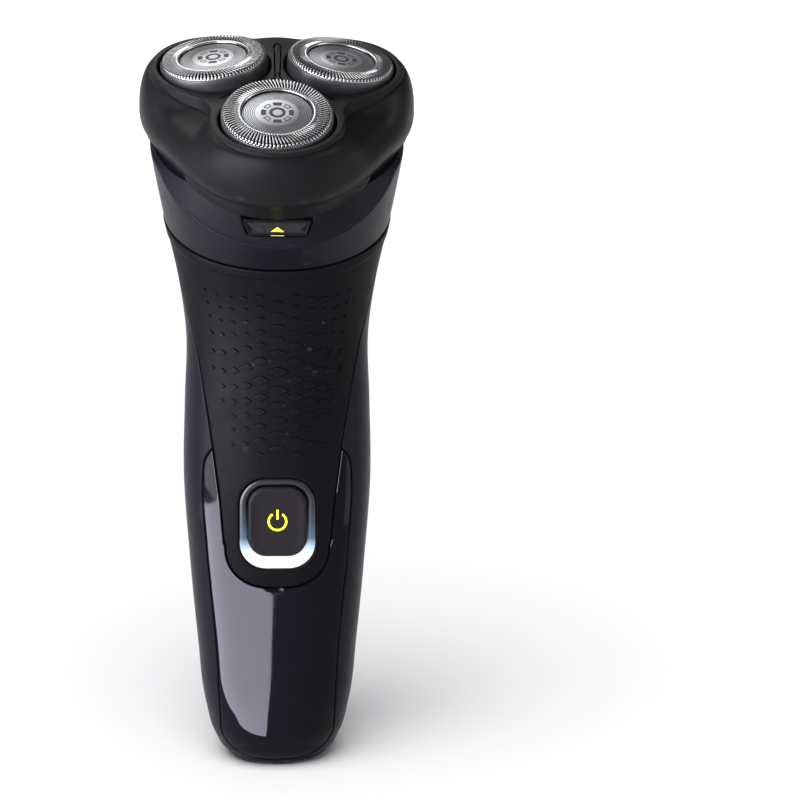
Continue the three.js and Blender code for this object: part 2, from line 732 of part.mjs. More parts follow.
function releaseButton() {
  const face = [[-25.3, -18.5], [-26.6, -22.2], [-23, -22.2], [-23, -18.3]];
  const body = solid(sidePrism(face, -7.6, 7.6));
  return body.add(solid(box(-2.5, 2.5, -23.2, -22.4, -18.8, -17.6)));
}

// ---------------------------------------------------------------- assembly

const shaver = new THREE.Group();
const head = new THREE.Group();
head.position.set(0, HEAD_Y, HEAD_Z);
head.rotation.x = HEAD_TILT;
shaver.add(head);

function addPart(group, name, shape, material) {
  const geometry = shape instanceof THREE.BufferGeometry ? shape : geometryOf(shape);
  const mesh = new THREE.Mesh(geometry, material);
  mesh.name = name;
  group.add(mesh);
  return mesh;
}

addPart(shaver, "rear_shell", rearShell(), satinDark);
addPart(shaver, "front_grip", frontGrip(), matteGrip);
addPart(shaver, "gloss_panel", glossPanel(), pianoGloss);
addPart(shaver, "inner_frame", innerFrame(), innerGrey);
addPart(shaver, "battery_cell", rod(BATTERY_RADIUS, 14, 64, 0, BATTERY_Y, 32), cellBlue);
addPart(shaver, "circuit_board", circuitBoard(), boardGreen);
addPart(shaver, "tact_switch", box(-3, 3, -14.1, BOARD_FRONT - GAP, BUTTON_Z - 3, BUTTON_Z + 3), innerGrey);
addPart(shaver, "status_led", box(-1.5, 1.5, -12, BOARD_FRONT - GAP, 51, 54), lightGuide);
addPart(shaver, "light_ring", lightRing(), lightGuide);
addPart(shaver, "power_button", powerButton(), satinDark);
addPart(shaver, "charging_socket", chargingSocket(), innerGrey);
[-1, 1].forEach((side, i) => addPart(shaver, `socket_pin_${i + 1}`, socketPin(side), brass));
boardScrews.forEach(([x, z], i) => addPart(shaver, `board_screw_${i + 1}`, boardScrew(x, z), steel));

addPart(head, "hair_chamber", hairChamber(), collarSatin);
addPart(head, "motor_plate", motorPlate(), innerGrey);
addPart(head, "motor_can", motorCan(), steel);
[-1, 1].forEach((side, i) => addPart(head, `motor_screw_${i + 1}`, motorScrew(side), steel));
addPart(head, "drive_cover", driveCover(), innerGrey);
const hingePin = rodAlongX(PIN_RADIUS, -CHAMBER_KNUCKLE, CHAMBER_KNUCKLE, HINGE_Y, HINGE_H, 14);
addPart(head, "hinge_pin", hingePin, steel);
addPart(head, "release_button", releaseButton(), satinDark);
addPart(head, "motor_shaft", motorShaft(), steel);
addPart(head, "centre_gear", centreGear(), gearWhite);
addPart(head, "top_frame", topFrame(), collarSatin);
addPart(head, "retaining_frame", retainingFrame(), innerGrey);

CAP_ANGLES.forEach((cap, i) => {
  const angle = cap * DEGREE;
  const number = i + 1;
  addPart(head, `drive_gear_${number}`, driveGear(angle), gearWhite);
  addPart(head, `drive_spindle_${number}`, driveSpindle(angle), capGrey);
  const seat = new THREE.Group();
  seat.position.set(CAP_RING * Math.cos(angle), CAP_RING * Math.sin(angle), 0);
  seat.quaternion.setFromUnitVectors(new THREE.Vector3(0, 0, 1), capAxis(angle));
  head.add(seat);
  addPart(seat, `cap_holder_${number}`, capHolder(), capGrey);
  addPart(seat, `cap_guard_${number}`, capGuard(), steel);
  addPart(seat, `cap_trim_${number}`, capTrim(), steel);
  addPart(seat, `cutter_${number}`, cutter(), steel);
});

export default shaver;
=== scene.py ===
"""Looks of the three-head rotary shaver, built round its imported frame.

Shapes are worked out in millimetres, in the frame of part.mjs, and become metres when a mesh is made.
"""

import math

import bpy
import numpy as np
from mathutils import Matrix, Vector
from mathutils.geometry import delaunay_2d_cdt


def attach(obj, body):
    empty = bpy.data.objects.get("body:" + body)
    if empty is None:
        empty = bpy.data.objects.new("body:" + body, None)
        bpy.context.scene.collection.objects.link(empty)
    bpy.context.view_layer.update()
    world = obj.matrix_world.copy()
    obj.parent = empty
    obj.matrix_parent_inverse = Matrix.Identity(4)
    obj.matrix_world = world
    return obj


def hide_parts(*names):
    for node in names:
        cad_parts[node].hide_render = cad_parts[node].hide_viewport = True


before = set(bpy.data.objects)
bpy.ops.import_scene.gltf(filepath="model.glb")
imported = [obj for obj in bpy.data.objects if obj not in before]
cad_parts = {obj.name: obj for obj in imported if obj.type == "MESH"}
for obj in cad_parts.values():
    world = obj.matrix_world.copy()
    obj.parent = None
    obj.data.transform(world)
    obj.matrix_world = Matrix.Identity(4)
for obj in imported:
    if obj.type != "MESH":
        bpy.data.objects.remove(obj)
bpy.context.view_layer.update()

MM = 0.001
TAU = 2 * math.pi

# ---------------------------------------------------------------- driving dimensions, as in part.mjs

HEAD_TILT = math.radians(28)
HEAD_Y, HEAD_Z = -14.5, 159.5
SEAM_DROP, SEAM_SHIFT = 33.2, 2.4
CAP_RING, CAP_LEAN = 16.0, math.radians(8)
CAP_ANGLES = [math.radians(a) for a in (270, 30, 150)]
APERTURE_RADIUS = 12.4
BUTTON_Z, BUTTON_WIDTH, BUTTON_HEIGHT = 62.0, 13.1, 16.0
RING_Z, RING_WIDTH, RING_HEIGHT, RING_CORNER = 61.4, 17.1, 20.9, 6
GAP = 0.3
SKIN = 1.6  # thickness of the shown shells

SECTIONS = [
    (0, 0, 0, 8, 6.6, 6.6, 2.2),
    (0.5, 0, 0, 10.4, 8.8, 8.8, 2.2),
    (2.2, 0, 0, 12.8, 11, 11, 2.25),
    (6, 0, 0, 15.1, 13.4, 13.5, 2.3),
    (14, 0, 0, 17.25, 15.6, 15.7, 2.4),
    (30, 0, 0, 19, 17.2, 17.2, 2.45),
    (50, 0, 0, 20.7, 18, 18, 2.45),
    (70, 0, 1, 21.9, 17.8, 18, 2.4),
    (88, 0.3, 5, 21.5, 16.8, 17.4, 2.3),
    (103, 1.2, 12, 21.1, 17, 17.6, 2.25),
    (117, 2.3, 20.5, 22.9, 20, 20, 2.2),
]


def to_row(points):
    """Points of the head frame, as points of the row frame."""
    p = np.asarray(points, float)
    x, y, h = p[..., 0], p[..., 1], p[..., 2]
    c, s = math.cos(HEAD_TILT), math.sin(HEAD_TILT)
    return np.stack([x, HEAD_Y + y * c - h * s, HEAD_Z + y * s + h * c], -1)


SEAM_POINT = to_row([0, SEAM_SHIFT, -SEAM_DROP])
SEAM_TOP = float(SEAM_POINT[2])
SECTIONS.append((SEAM_TOP, float(SEAM_POINT[1]), 28, 26, 26, 23, 2.12))


def curve(points):
    """A smooth curve through (x, y) points, the same one that the CAD sections use."""
    xs = np.array([p[0] for p in points], float)
    ys = np.array([p[1] for p in points], float)
    step = np.diff(xs)
    slope = np.diff(ys) / step
    tangent = np.concatenate([[slope[0]], np.zeros(len(xs) - 2), [slope[-1]]])
    tangent[1:-1] = (slope[:-1] * step[1:] + slope[1:] * step[:-1]) / (step[:-1] + step[1:])

    def at(x):
        x = np.clip(np.asarray(x, float), xs[0], xs[-1])
        i = np.clip(np.searchsorted(xs, x, side="right") - 1, 0, len(xs) - 2)
        t = (x - xs[i]) / step[i]
        low = (1 + 2 * t) * (1 - t) ** 2 * ys[i] + t * (1 - t) ** 2 * step[i] * tangent[i]
        high = t * t * (3 - 2 * t) * ys[i + 1] - t * t * (1 - t) * step[i] * tangent[i + 1]
        return low + high

    return at


SECTION_AT = [curve([(row[0], row[k]) for row in SECTIONS]) for k in range(1, 7)]


def smoothstep(low, high, x):
    t = np.clip((np.asarray(x, float) - low) / (high - low), 0, 1)
    return t * t * (3 - 2 * t)


def signed_power(value, exponent):
    return np.sign(value) * np.abs(value) ** exponent


def skin(theta, height, inset=0.0):
    """A point of the handle's surface. theta, in radians, is 0 at the front and grows towards +X."""
    theta, height = np.broadcast_arrays(np.asarray(theta, float), np.asarray(height, float))
    centre, tilt, half, front, back, exponent = (f(height) for f in SECTION_AT)
    s, c = np.sin(theta), np.cos(theta)
    depth = np.where(c >= 0, front, back) - inset
    x = (half - inset) * signed_power(s, 2 / exponent)
    y = -depth * signed_power(c, 2 / exponent)
    lean = np.radians(tilt)
    return np.stack([x, centre + y * np.cos(lean), height + y * np.sin(lean)], -1)


def skin_normal(theta, height):
    d = 1e-3
    along = skin(theta + d, height) - skin(theta - d, height)
    up = skin(theta, height + 0.05) - skin(theta, np.asarray(height) - 0.05)
    n = np.cross(along, up)
    return n / np.maximum(np.linalg.norm(n, axis=-1, keepdims=True), 1e-9)


def theta_at(x, height):
    """The angle at which the front surface has this x."""
    _, _, half, _, _, exponent = (f(height) for f in SECTION_AT)
    ratio = np.clip(np.abs(np.asarray(x, float)) / half, 0, 1)
    return np.sign(x) * np.arcsin(ratio ** (exponent / 2))


# ---------------------------------------------------------------- mesh building


def grid_faces(rows, columns, closed=False):
    wide = columns if closed else columns - 1
    r, c = np.meshgrid(np.arange(rows - 1), np.arange(wide), indexing="ij")
    a = r * columns + c
    b = r * columns + (c + 1) % columns
    return np.stack([a, b, b + columns, a + columns], -1).reshape(-1, 4).tolist()


def weld(points, faces, within=1e-3):
    """Joins points closer than `within` millimetres, and drops the faces that vanish."""
    keys = {}
    index = []
    kept = []
    for p in np.asarray(points, float):
        key = tuple(np.round(p / within).astype(int))
        if key not in keys:
            keys[key] = len(kept)
            kept.append(p)
        index.append(keys[key])
    result = []
    for face in faces:
        ring = [index[i] for i in face]
        clean = [v for k, v in enumerate(ring) if v != ring[k - 1]]
        if len(clean) >= 3 and len(set(clean)) == len(clean):
            result.append(clean)
    return np.array(kept), result, np.array(index)


def boundary_edges(faces):
    directed = set()
    for face in faces:
        for k in range(len(face)):
            directed.add((face[k - 1], face[k]))
    return [(a, b) for a, b in directed if (b, a) not in directed]


def welded_wall(outer, inner, faces, within):
    """The closed wall between two skins, once the outer one's coinciding points are joined."""
    welded, faces, index = weld(outer, faces, within)
    kept_inner = np.zeros_like(welded)
    kept_inner[index] = inner
    return thicken(welded, kept_inner, faces)


def thicken(outer, inner, faces):
    """A closed wall between an outer skin and an inner skin that share their faces."""
    count = len(outer)
    points = np.concatenate([outer, inner])
    walls = [list(f) for f in faces]
    walls += [[i + count for i in reversed(f)] for f in faces]
    walls += [[b, a, a + count, b + count] for a, b in boundary_edges(faces)]
    return points, walls


def make_piece(name, points, faces, material, body, nodes=(), slot=None, sharp=40, place=None):
    """A mesh object that rides on a body and stands for CAD nodes.

    Its points are in the row frame, unless place is the matrix that takes it there."""
    mesh = bpy.data.meshes.new(name)
    mesh.from_pydata((np.asarray(points, float) * MM).tolist(), [], [list(f) for f in faces])
    mesh.validate()
    mesh.materials.append(material)
    mesh.shade_smooth()
    mesh.set_sharp_from_angle(angle=math.radians(sharp))
    piece = bpy.data.objects.new(name, mesh)
    bpy.context.scene.collection.objects.link(piece)
    if place is not None:
        piece.matrix_world = place
        bpy.context.view_layer.update()
    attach(piece, body)
    if nodes:
        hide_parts(*nodes)


def join_parts(*parts):
    """Several (points, faces) as one."""
    points, faces, base = [], [], 0
    for part_points, part_faces in parts:
        points.append(np.asarray(part_points, float))
        faces += [[i + base for i in f] for f in part_faces]
        base += len(part_points)
    return np.concatenate(points), faces


def triangulate(points, loops, holes):
    """Triangles of a plane region. points come first from the loops, and then the loose ones inside.

    loops are lists of point numbers that edges must follow; no face is kept inside a hole's outline."""
    edges = []
    for loop in loops:
        edges += [(loop[k - 1], loop[k]) for k in range(len(loop))]
    flat = [Vector((float(p[0]), float(p[1]))) for p in points]
    found, _, triangles, _, _, _ = delaunay_2d_cdt(flat, edges, [], 0, 1e-7)
    found = np.array([[v.x, v.y] for v in found])
    triangles = np.array([list(t) for t in triangles])
    middle = found[triangles].mean(1)
    keep = np.ones(len(triangles), bool)
    for outline, keep_inside in holes:
        inside = points_inside(middle, outline)
        keep &= inside if keep_inside else ~inside
    triangles = triangles[keep]
    a, b, c = (found[triangles[:, k]] for k in range(3))
    turn = (b - a)[:, 0] * (c - a)[:, 1] - (b - a)[:, 1] * (c - a)[:, 0]
    triangles[turn < 0] = triangles[turn < 0][:, ::-1]
    used = np.unique(triangles)
    number = np.full(len(found), -1)
    number[used] = np.arange(len(used))
    return found[used], number[triangles].tolist()


def points_inside(points, outline):
    """Which points lie inside a closed outline, by the even-odd rule."""
    x, y = points[:, 0], points[:, 1]
    inside = np.zeros(len(points), bool)
    for k in range(len(outline)):
        (x0, y0), (x1, y1) = outline[k - 1], outline[k]
        if y0 == y1:
            continue
        crosses = (y0 > y) != (y1 > y)
        inside ^= crosses & (x < (x1 - x0) * (y - y0) / (y1 - y0) + x0)
    return inside


def distance_to(points, outline):
    """The distance from each point to a closed outline."""
    line = np.asarray(outline, float)
    best = np.full(len(points), np.inf)
    for p, q in zip(line, np.roll(line, -1, axis=0)):
        d = q - p
        t = np.clip(((points - p) @ d) / max(d @ d, 1e-12), 0, 1)
        best = np.minimum(best, np.linalg.norm(points - (p + t[:, None] * d), axis=1))
    return best


def rolled(distance, radius):
    """How far a surface falls at this distance from a rounded edge."""
    short = np.clip(radius - np.asarray(distance, float), 0, radius)
    return radius - np.sqrt(np.maximum(radius**2 - short**2, 0))


def add_loop(points, loops, loop):
    """Adds a closed loop to a list of point arrays, and the numbers of its points to loops."""
    start = sum(len(p) for p in points)
    points.append(loop)
    loops.append(list(range(start, start + len(loop))))


EDGE_STEPS = (0.0, 0.03, 0.1, 0.22, 0.4)  # how far in from a rounded edge the mesh has a line of points
EDGE_RADIUS = 0.4

# ---------------------------------------------------------------- materials


class Shader:
    """A node tree with one Principled shader, and short calls that add to it."""

    def __init__(self, name, metallic=0.0, roughness=0.5, ior=1.5):
        self.material = bpy.data.materials.new(name)
        self.material.use_nodes = True
        self.tree = self.material.node_tree
        self.bsdf = self.tree.nodes["Principled BSDF"]
        self.bsdf.inputs["Metallic"].default_value = metallic
        self.bsdf.inputs["Roughness"].default_value = roughness
        self.bsdf.inputs["IOR"].default_value = ior
        self.place = self.add("ShaderNodeTexCoord").outputs["Object"]

    def add(self, kind, **settings):
        node = self.tree.nodes.new(kind)
        for key, value in settings.items():
            setattr(node, key, value)
        return node

    def link(self, source, target):
        self.tree.links.new(source, target)

    def noise(self, scale, detail=2.0, roughness=0.5, stretch=None):
        node = self.add("ShaderNodeTexNoise")
        node.inputs["Scale"].default_value = scale
        node.inputs["Detail"].default_value = detail
        node.inputs["Roughness"].default_value = roughness
        if stretch is None:
            self.link(self.place, node.inputs["Vector"])
        else:
            mapping = self.add("ShaderNodeMapping")
            mapping.inputs["Scale"].default_value = stretch
            self.link(self.place, mapping.inputs["Vector"])
            self.link(mapping.outputs["Vector"], node.inputs["Vector"])
        return node.outputs["Fac"]

    def remap(self, value, low, high, to_low, to_high):
        node = self.add("ShaderNodeMapRange")
        node.inputs["From Min"].default_value = low
        node.inputs["From Max"].default_value = high
        node.inputs["To Min"].default_value = to_low
        node.inputs["To Max"].default_value = to_high
        self.link(value, node.inputs["Value"])
        return node.outputs["Result"]

    def blend(self, factor, first, second):
        node = self.add("ShaderNodeMix", data_type="RGBA")
        self.link(factor, node.inputs["Factor"])
        for socket, value in ((node.inputs[6], first), (node.inputs[7], second)):
            if isinstance(value, bpy.types.NodeSocket):
                self.link(value, socket)
            else:
                socket.default_value = (*value, 1)
        return node.outputs[2]

    def base(self, value):
        self.link(value, self.bsdf.inputs["Base Color"])

    def vary_colour(self, dark, light, scale=60.0):
        """A slow drift between two close colours."""
        self.base(self.blend(self.noise(scale, 3), dark, light))

    def vary_roughness(self, low, high, scale=300.0, detail=4.0):
        drift = self.remap(self.noise(scale, detail), 0.3, 0.7, low, high)
        self.link(drift, self.bsdf.inputs["Roughness"])

    def bump(self, value, distance, strength=1.0):
        node = self.add("ShaderNodeBump")
        node.inputs["Distance"].default_value = distance
        node.inputs["Strength"].default_value = strength
        self.link(value, node.inputs["Height"])
        previous = self.bsdf.inputs["Normal"]
        if previous.is_linked:
            self.link(previous.links[0].from_socket, node.inputs["Normal"])
        self.link(node.outputs["Normal"], self.bsdf.inputs["Normal"])

    def set(self, **values):
        for key, value in values.items():
            self.bsdf.inputs[key.replace("_", " ")].default_value = value


PLASTIC_SPECULAR = 0.06  # low, because the plain studio would otherwise wash the dark plastics out
PALE_EDGE_FROM, PALE_EDGE_TO = 0.52, 0.62  # the pointiness over which an edge goes from its plain tone to the paler tone of rubbed wear and painted highlight


def worn_and_highlit_edges(shader, base, wear_and_highlight):
    """Paler edges where the mesh is sharply convex: partly rubbed wear, partly a painted highlight where light
    would catch the edge.
    """
    point = shader.add("ShaderNodeNewGeometry").outputs["Pointiness"]
    breakup = shader.remap(shader.noise(900, 3), 0.35, 0.75, 0.4, 1.0)
    edge = shader.remap(point, PALE_EDGE_FROM, PALE_EDGE_TO, 0, 1)
    product = shader.add("ShaderNodeMath", operation="MULTIPLY", use_clamp=True)
    shader.link(edge, product.inputs[0])
    shader.link(breakup, product.inputs[1])
    shader.base(shader.blend(product.outputs[0], base, wear_and_highlight))


def moulded_plastic(name, dark, light, roughness, grain, grain_depth, wear_and_highlight=0.004):
    """Injection-moulded plastic: a fine spark texture, slow colour drift and uneven sheen."""
    shader = Shader(name, roughness=sum(roughness) / 2)
    drift = shader.blend(shader.noise(70, 3), dark, light)
    # the paler convex edges are partly rubbed wear and partly a painted highlight
    worn_and_highlit_edges(shader, drift, tuple(c * 1.8 + wear_and_highlight for c in light))
    shader.vary_roughness(*roughness)
    shader.bump(shader.noise(grain, 2, 0.6), grain_depth, 0.55)
    shader.set(Specular_IOR_Level=PLASTIC_SPECULAR)
    return shader.material


def piano_gloss():
    shader = Shader("piano_gloss", roughness=0.06, ior=1.52)
    shader.vary_colour((0.0004, 0.0004, 0.0006), (0.0007, 0.0006, 0.001), 40)
    shader.vary_roughness(0.04, 0.09, 500, 6)
    scuffs = shader.noise(1400, 8, 0.7, (1, 1, 0.12))
    shader.bump(scuffs, 2e-6, 0.25)
    shader.set(Specular_IOR_Level=0.07)
    return shader.material


def cap_grey():
    shader = Shader("cap_grey", metallic=0.3, roughness=0.36)
    worn_and_highlit_edges(shader, (0.028, 0.028, 0.031), (0.1, 0.1, 0.105))
    shader.vary_roughness(0.28, 0.4, 500)
    shader.bump(shader.noise(9000, 2), 8e-6, 0.4)
    return shader.material


def turned_steel(name, tone, rings, rough=(0.12, 0.24)):
    """Stainless steel with the fine circular lines that turning leaves about the piece's own axis."""
    shader = Shader(name, metallic=1.0, roughness=0.18)
    shader.vary_colour((tone - 0.04, tone - 0.035, tone - 0.03), (tone, tone + 0.005, tone + 0.01), 400)
    lines = shader.add("ShaderNodeTexWave", wave_type="RINGS", rings_direction="Z")
    lines.inputs["Scale"].default_value = rings
    lines.inputs["Distortion"].default_value = 0.6
    lines.inputs["Detail"].default_value = 2
    shader.link(shader.place, lines.inputs["Vector"])
    shader.vary_roughness(*rough, 900)
    shader.bump(lines.outputs["Fac"], 1.5e-6, 0.4)
    return shader.material


def plain_steel(name, tone=0.6, roughness=(0.25, 0.38)):
    shader = Shader(name, metallic=1.0)
    worn_and_highlit_edges(shader, (tone, tone, tone * 1.02), (0.8, 0.8, 0.81))
    shader.vary_roughness(*roughness, 700)
    shader.bump(shader.noise(2500, 4, 0.6, (1, 1, 8)), 5e-6, 0.5)
    return shader.material


def yellow_ink():
    shader = Shader("yellow_ink", roughness=0.4)
    shader.vary_colour((0.76, 0.72, 0.01), (0.82, 0.78, 0.02), 900)
    shader.bump(shader.noise(9000, 3), 5e-6, 0.4)
    # the emission is a painted glow: the printed symbols shine brighter than the lamps alone would light them
    shader.set(Emission_Color=(0.8, 0.76, 0.02, 1), Emission_Strength=0.3)
    return shader.material


def mark_grey():
    shader = Shader("mark_grey", roughness=0.5)
    shader.vary_colour((0.02, 0.02, 0.022), (0.032, 0.032, 0.035), 900)
    shader.set(Specular_IOR_Level=0.2)
    return shader.material


def light_guide():
    """A frosted guide: lit from its lower end, so that it glows white there and fades through blue."""
    shader = Shader("light_guide", roughness=0.28)
    split = shader.add("ShaderNodeSeparateXYZ")
    shader.link(shader.place, split.inputs[0])
    low = (RING_Z - RING_HEIGHT / 2) * MM
    ramp = shader.add("ShaderNodeValToRGB")
    shader.link(shader.remap(split.outputs["Z"], low, low + RING_HEIGHT * MM, 0, 1), ramp.inputs["Fac"])
    stops = [(0.0, (1, 1, 1)), (0.17, (1, 1, 1)), (0.22, (0.6, 0.8, 1)), (0.34, (0.075, 0.125, 0.2))]
    stops += [(0.52, (0.018, 0.035, 0.06)), (0.72, (0, 0, 0))]
    for i, (position, colour) in enumerate(stops):
        stop = ramp.color_ramp.elements[i] if i < 2 else ramp.color_ramp.elements.new(position)
        stop.position = position
        stop.color = (*colour, 1)
    shader.vary_colour((0.006, 0.006, 0.008), (0.009, 0.009, 0.012), 300)
    shader.link(ramp.outputs["Color"], shader.bsdf.inputs["Emission Color"])
    shader.set(Emission_Strength=1.15)
    shader.bump(shader.noise(5000, 2), 6e-6, 0.4)
    return shader.material


def circuit_green():
    shader = Shader("circuit_green", roughness=0.4)
    weave = shader.add("ShaderNodeTexBrick")
    weave.inputs["Scale"].default_value = 700
    weave.inputs["Color1"].default_value = (0.02, 0.12, 0.055, 1)
    weave.inputs["Color2"].default_value = (0.025, 0.14, 0.065, 1)
    weave.inputs["Mortar"].default_value = (0.03, 0.18, 0.08, 1)
    shader.link(shader.place, weave.inputs["Vector"])
    shader.base(weave.outputs["Color"])
    shader.vary_roughness(0.3, 0.45, 900)
    return shader.material


def brass_metal():
    shader = Shader("brass_metal", metallic=1.0, roughness=0.3)
    shader.vary_colour((0.66, 0.45, 0.16), (0.74, 0.52, 0.2), 900)
    shader.vary_roughness(0.22, 0.36, 1200)
    return shader.material


# a moulded plastic has a dark and a light tone, the range of its roughness, and its grain's scale and depth
BODY = moulded_plastic(
    "satin_body", (0.005, 0.0042, 0.0072), (0.0068, 0.0057, 0.0098), (0.33, 0.41), 7000, 2e-5
)
COLLAR = moulded_plastic(
    "collar_satin", (0.0052, 0.0046, 0.007), (0.007, 0.0062, 0.0092), (0.32, 0.4), 7500, 2e-5
)
# on the grip the paler edge tone is raised to 0.016: mostly a painted highlight along the pads' convex edges
GRIP = moulded_plastic(
    "grip_matte", (0.0022, 0.0018, 0.0026), (0.0032, 0.0027, 0.0038), (0.44, 0.54), 5200, 4e-5, wear_and_highlight=0.016
)
UNIT = moulded_plastic(
    "unit_plastic", (0.0055, 0.0055, 0.0062), (0.0074, 0.0074, 0.0082), (0.36, 0.45), 6800, 2.2e-5
)
GLOSS = piano_gloss()
BUTTON = moulded_plastic(
    "button_plastic", (0.0105, 0.0095, 0.011), (0.0135, 0.0125, 0.0145), (0.3, 0.38), 8000, 1.5e-5
)
CAP_GREY = cap_grey()
TRACK_STEEL = turned_steel("track_steel", 0.36, 3000, (0.2, 0.27))
DISC_STEEL = turned_steel("disc_steel", 0.34, 2000, (0.34, 0.42))
CUTTER_STEEL = turned_steel("cutter_steel", 0.16, 2500)
STEEL = plain_steel("plain_steel")
YELLOW = yellow_ink()
MARK = mark_grey()
LIGHT = light_guide()
INNER = moulded_plastic("inner_plastic", (0.1, 0.1, 0.105), (0.13, 0.13, 0.135), (0.5, 0.62), 4500, 2e-5)
GEAR = moulded_plastic("gear_plastic", (0.6, 0.58, 0.52), (0.68, 0.66, 0.6), (0.5, 0.62), 4500, 2e-5)
BOARD = circuit_green()
BRASS = brass_metal()
CELL = moulded_plastic("cell_sleeve", (0.03, 0.11, 0.3), (0.04, 0.13, 0.34), (0.3, 0.4), 3000, 1e-5)

# ---------------------------------------------------------------- outlines on the handle

TONGUE_HALF, TONGUE_LOW, TONGUE_TOP, TONGUE_POWER = 11.9, 46.4, 56.0, 2.4
FOOT_HALF, FOOT_LOW, FOOT_TOP, FOOT_POWER = 13.4, 1.8, 12.0, 2.5
PANEL_TIP = 78.9
GRIP_SIDE = curve([  # height, and degrees from the front
    (56, 30.5), (70, 33.9), (78.4, 38.6), (91.5, 48.5), (100, 57), (108, 65.5), (118, 76.5), (SEAM_TOP, 92),
])
PANEL_SIDE = curve([  # height, and half width
    (12, 13.4), (32.5, 14.3), (55, 16.3), (72.4, 17.0), (75.2, 16.7), (77.2, 15.9), (PANEL_TIP, 14.6),
])
MEAN_RADIUS = 19.0  # turns a small distance across the surface into an angle
LIP_PROUD, LIP_START, LIP_FULL = 0.22, 3.4, 2.9  # the lip's height, and where it rises, below the seam


def tongue_x(height, grow=0.0):
    """Half width of the grip's rounded lower end."""
    reach = np.clip((TONGUE_TOP - np.asarray(height, float)) / (TONGUE_TOP - TONGUE_LOW + grow), 0, 1)
    return (TONGUE_HALF + grow) * (1 - reach**TONGUE_POWER) ** (1 / TONGUE_POWER)


def grip_edge(height, grow=0.0):
    """The angle of the grip's side edge at this height, moved outward by grow millimetres."""
    height = np.asarray(height, float)
    low = theta_at(tongue_x(height, grow), height)
    high = np.radians(GRIP_SIDE(height)) + grow / MEAN_RADIUS
    return np.where(height < TONGUE_TOP, low, high)


def panel_edge(height, grow=0.0):
    height = np.asarray(height, float)
    reach = np.clip((FOOT_TOP - height) / (FOOT_TOP - FOOT_LOW + grow), 0, 1)
    foot = (FOOT_HALF + grow) * (1 - reach**FOOT_POWER) ** (1 / FOOT_POWER)
    x = np.where(height < FOOT_TOP, foot, PANEL_SIDE(height) + grow)
    return theta_at(x, height)


def arc_heights(low, top, exponent, count, first=3.0):
    """Heights up a rounded end, spaced so that its outline stays smooth."""
    t = np.radians(np.linspace(first, 90, count))
    return top - (top - low) * np.maximum(np.cos(t), 0) ** (2 / exponent)


def seam_lip(height):
    """The small raised lip under the seam with the collar."""
    return LIP_PROUD * smoothstep(SEAM_TOP - LIP_START, SEAM_TOP - LIP_FULL, height)


def skin_pair(theta, height, depth):
    """Outer and inner points of a shell, the outer one sunk by depth."""
    normal = skin_normal(theta, height)
    surface = skin(theta, height)
    outer = surface - normal * np.asarray(depth)[..., None]
    return outer, surface - normal * SKIN


# ---------------------------------------------------------------- gloss panel


def edge_fractions(count, width):
    """Column places from 0 to 1 over a strip this wide, crowded at both rounded edges."""
    near = np.array(EDGE_STEPS) / width
    middle = np.linspace(near[-1], 1 - near[-1], count)
    return np.concatenate([near[:-1], middle, 1 - near[:-1][::-1]])


def gloss_panel():
    inset = GAP / 2
    low_rows = np.concatenate([
        arc_heights(FOOT_LOW + inset, FOOT_TOP, FOOT_POWER, 26),
        np.linspace(FOOT_TOP, TONGUE_LOW - inset, 40)[1:],
    ])
    low_rows[0] += 0.02
    fractions = edge_fractions(61, 26)
    theta = np.stack([-panel_edge(z, -inset) * (1 - 2 * fractions) for z in low_rows])
    parts = [(theta, np.repeat(low_rows[:, None], len(fractions), 1))]
    high_rows = np.concatenate([
        arc_heights(TONGUE_LOW - inset, TONGUE_TOP, TONGUE_POWER, 30, 0.0),
        np.linspace(TONGUE_TOP, PANEL_TIP - 0.4, 46)[1:],
        PANEL_TIP - 0.4 + np.array([0.1, 0.2, 0.3]),
    ])
    half = fractions[len(fractions) // 2:] * 2 - 1
    for side in (-1, 1):
        strip = []
        for z in high_rows:
            inner = grip_edge(z, inset) if z > TONGUE_LOW - inset else 0.0
            outer = max(panel_edge(z, -inset), inner + 1e-4)
            strip.append(side * (inner + (outer - inner) * half))
        strip = np.stack(strip)
        if side < 0:
            strip = strip[:, ::-1]
        parts.append((strip, np.repeat(high_rows[:, None], strip.shape[1], 1)))
    outline, tongue = panel_outline(-inset), tongue_outline(inset)
    meshes = []
    for theta, heights in parts:
        flat = np.stack([theta.ravel() * MEAN_RADIUS, heights.ravel()], -1)
        distance = np.minimum(distance_to(flat, outline), distance_to(flat, tongue))
        depth = rolled(distance, 0.35)
        outer, inner = skin_pair(theta.ravel(), heights.ravel(), depth)
        meshes.append((outer, inner, grid_faces(*theta.shape)))
    outer, faces = join_parts(*[(o, f) for o, _, f in meshes])
    inner = np.concatenate([i for _, i, _ in meshes])
    points, faces = welded_wall(outer, inner, faces, 4e-3)
    make_piece("gloss_cover", points, faces, GLOSS, "handle", ["gloss_panel"], "gloss_panel")


def both_sides(edge, arc, straight, grow):
    """A closed outline in (u, v) from an edge that gives the right side's angle at each height."""
    rows = np.concatenate([arc_heights(*arc, 40, 0.0), np.linspace(*straight)[1:]])
    right = np.stack([edge(rows, grow) * MEAN_RADIUS, rows], -1)
    return np.concatenate([right, right[::-1] * [-1, 1]])


def panel_outline(grow):
    return both_sides(panel_edge, (FOOT_LOW - grow, FOOT_TOP, FOOT_POWER), (FOOT_TOP, PANEL_TIP, 60), grow)


def tongue_outline(grow):
    arc = (TONGUE_LOW - grow, TONGUE_TOP, TONGUE_POWER)
    return both_sides(grip_edge, arc, (TONGUE_TOP, SEAM_TOP, 120), grow)


gloss_panel()

# ---------------------------------------------------------------- rear shell


FAR = 9  # millimetres from an edge at which no rounding is left


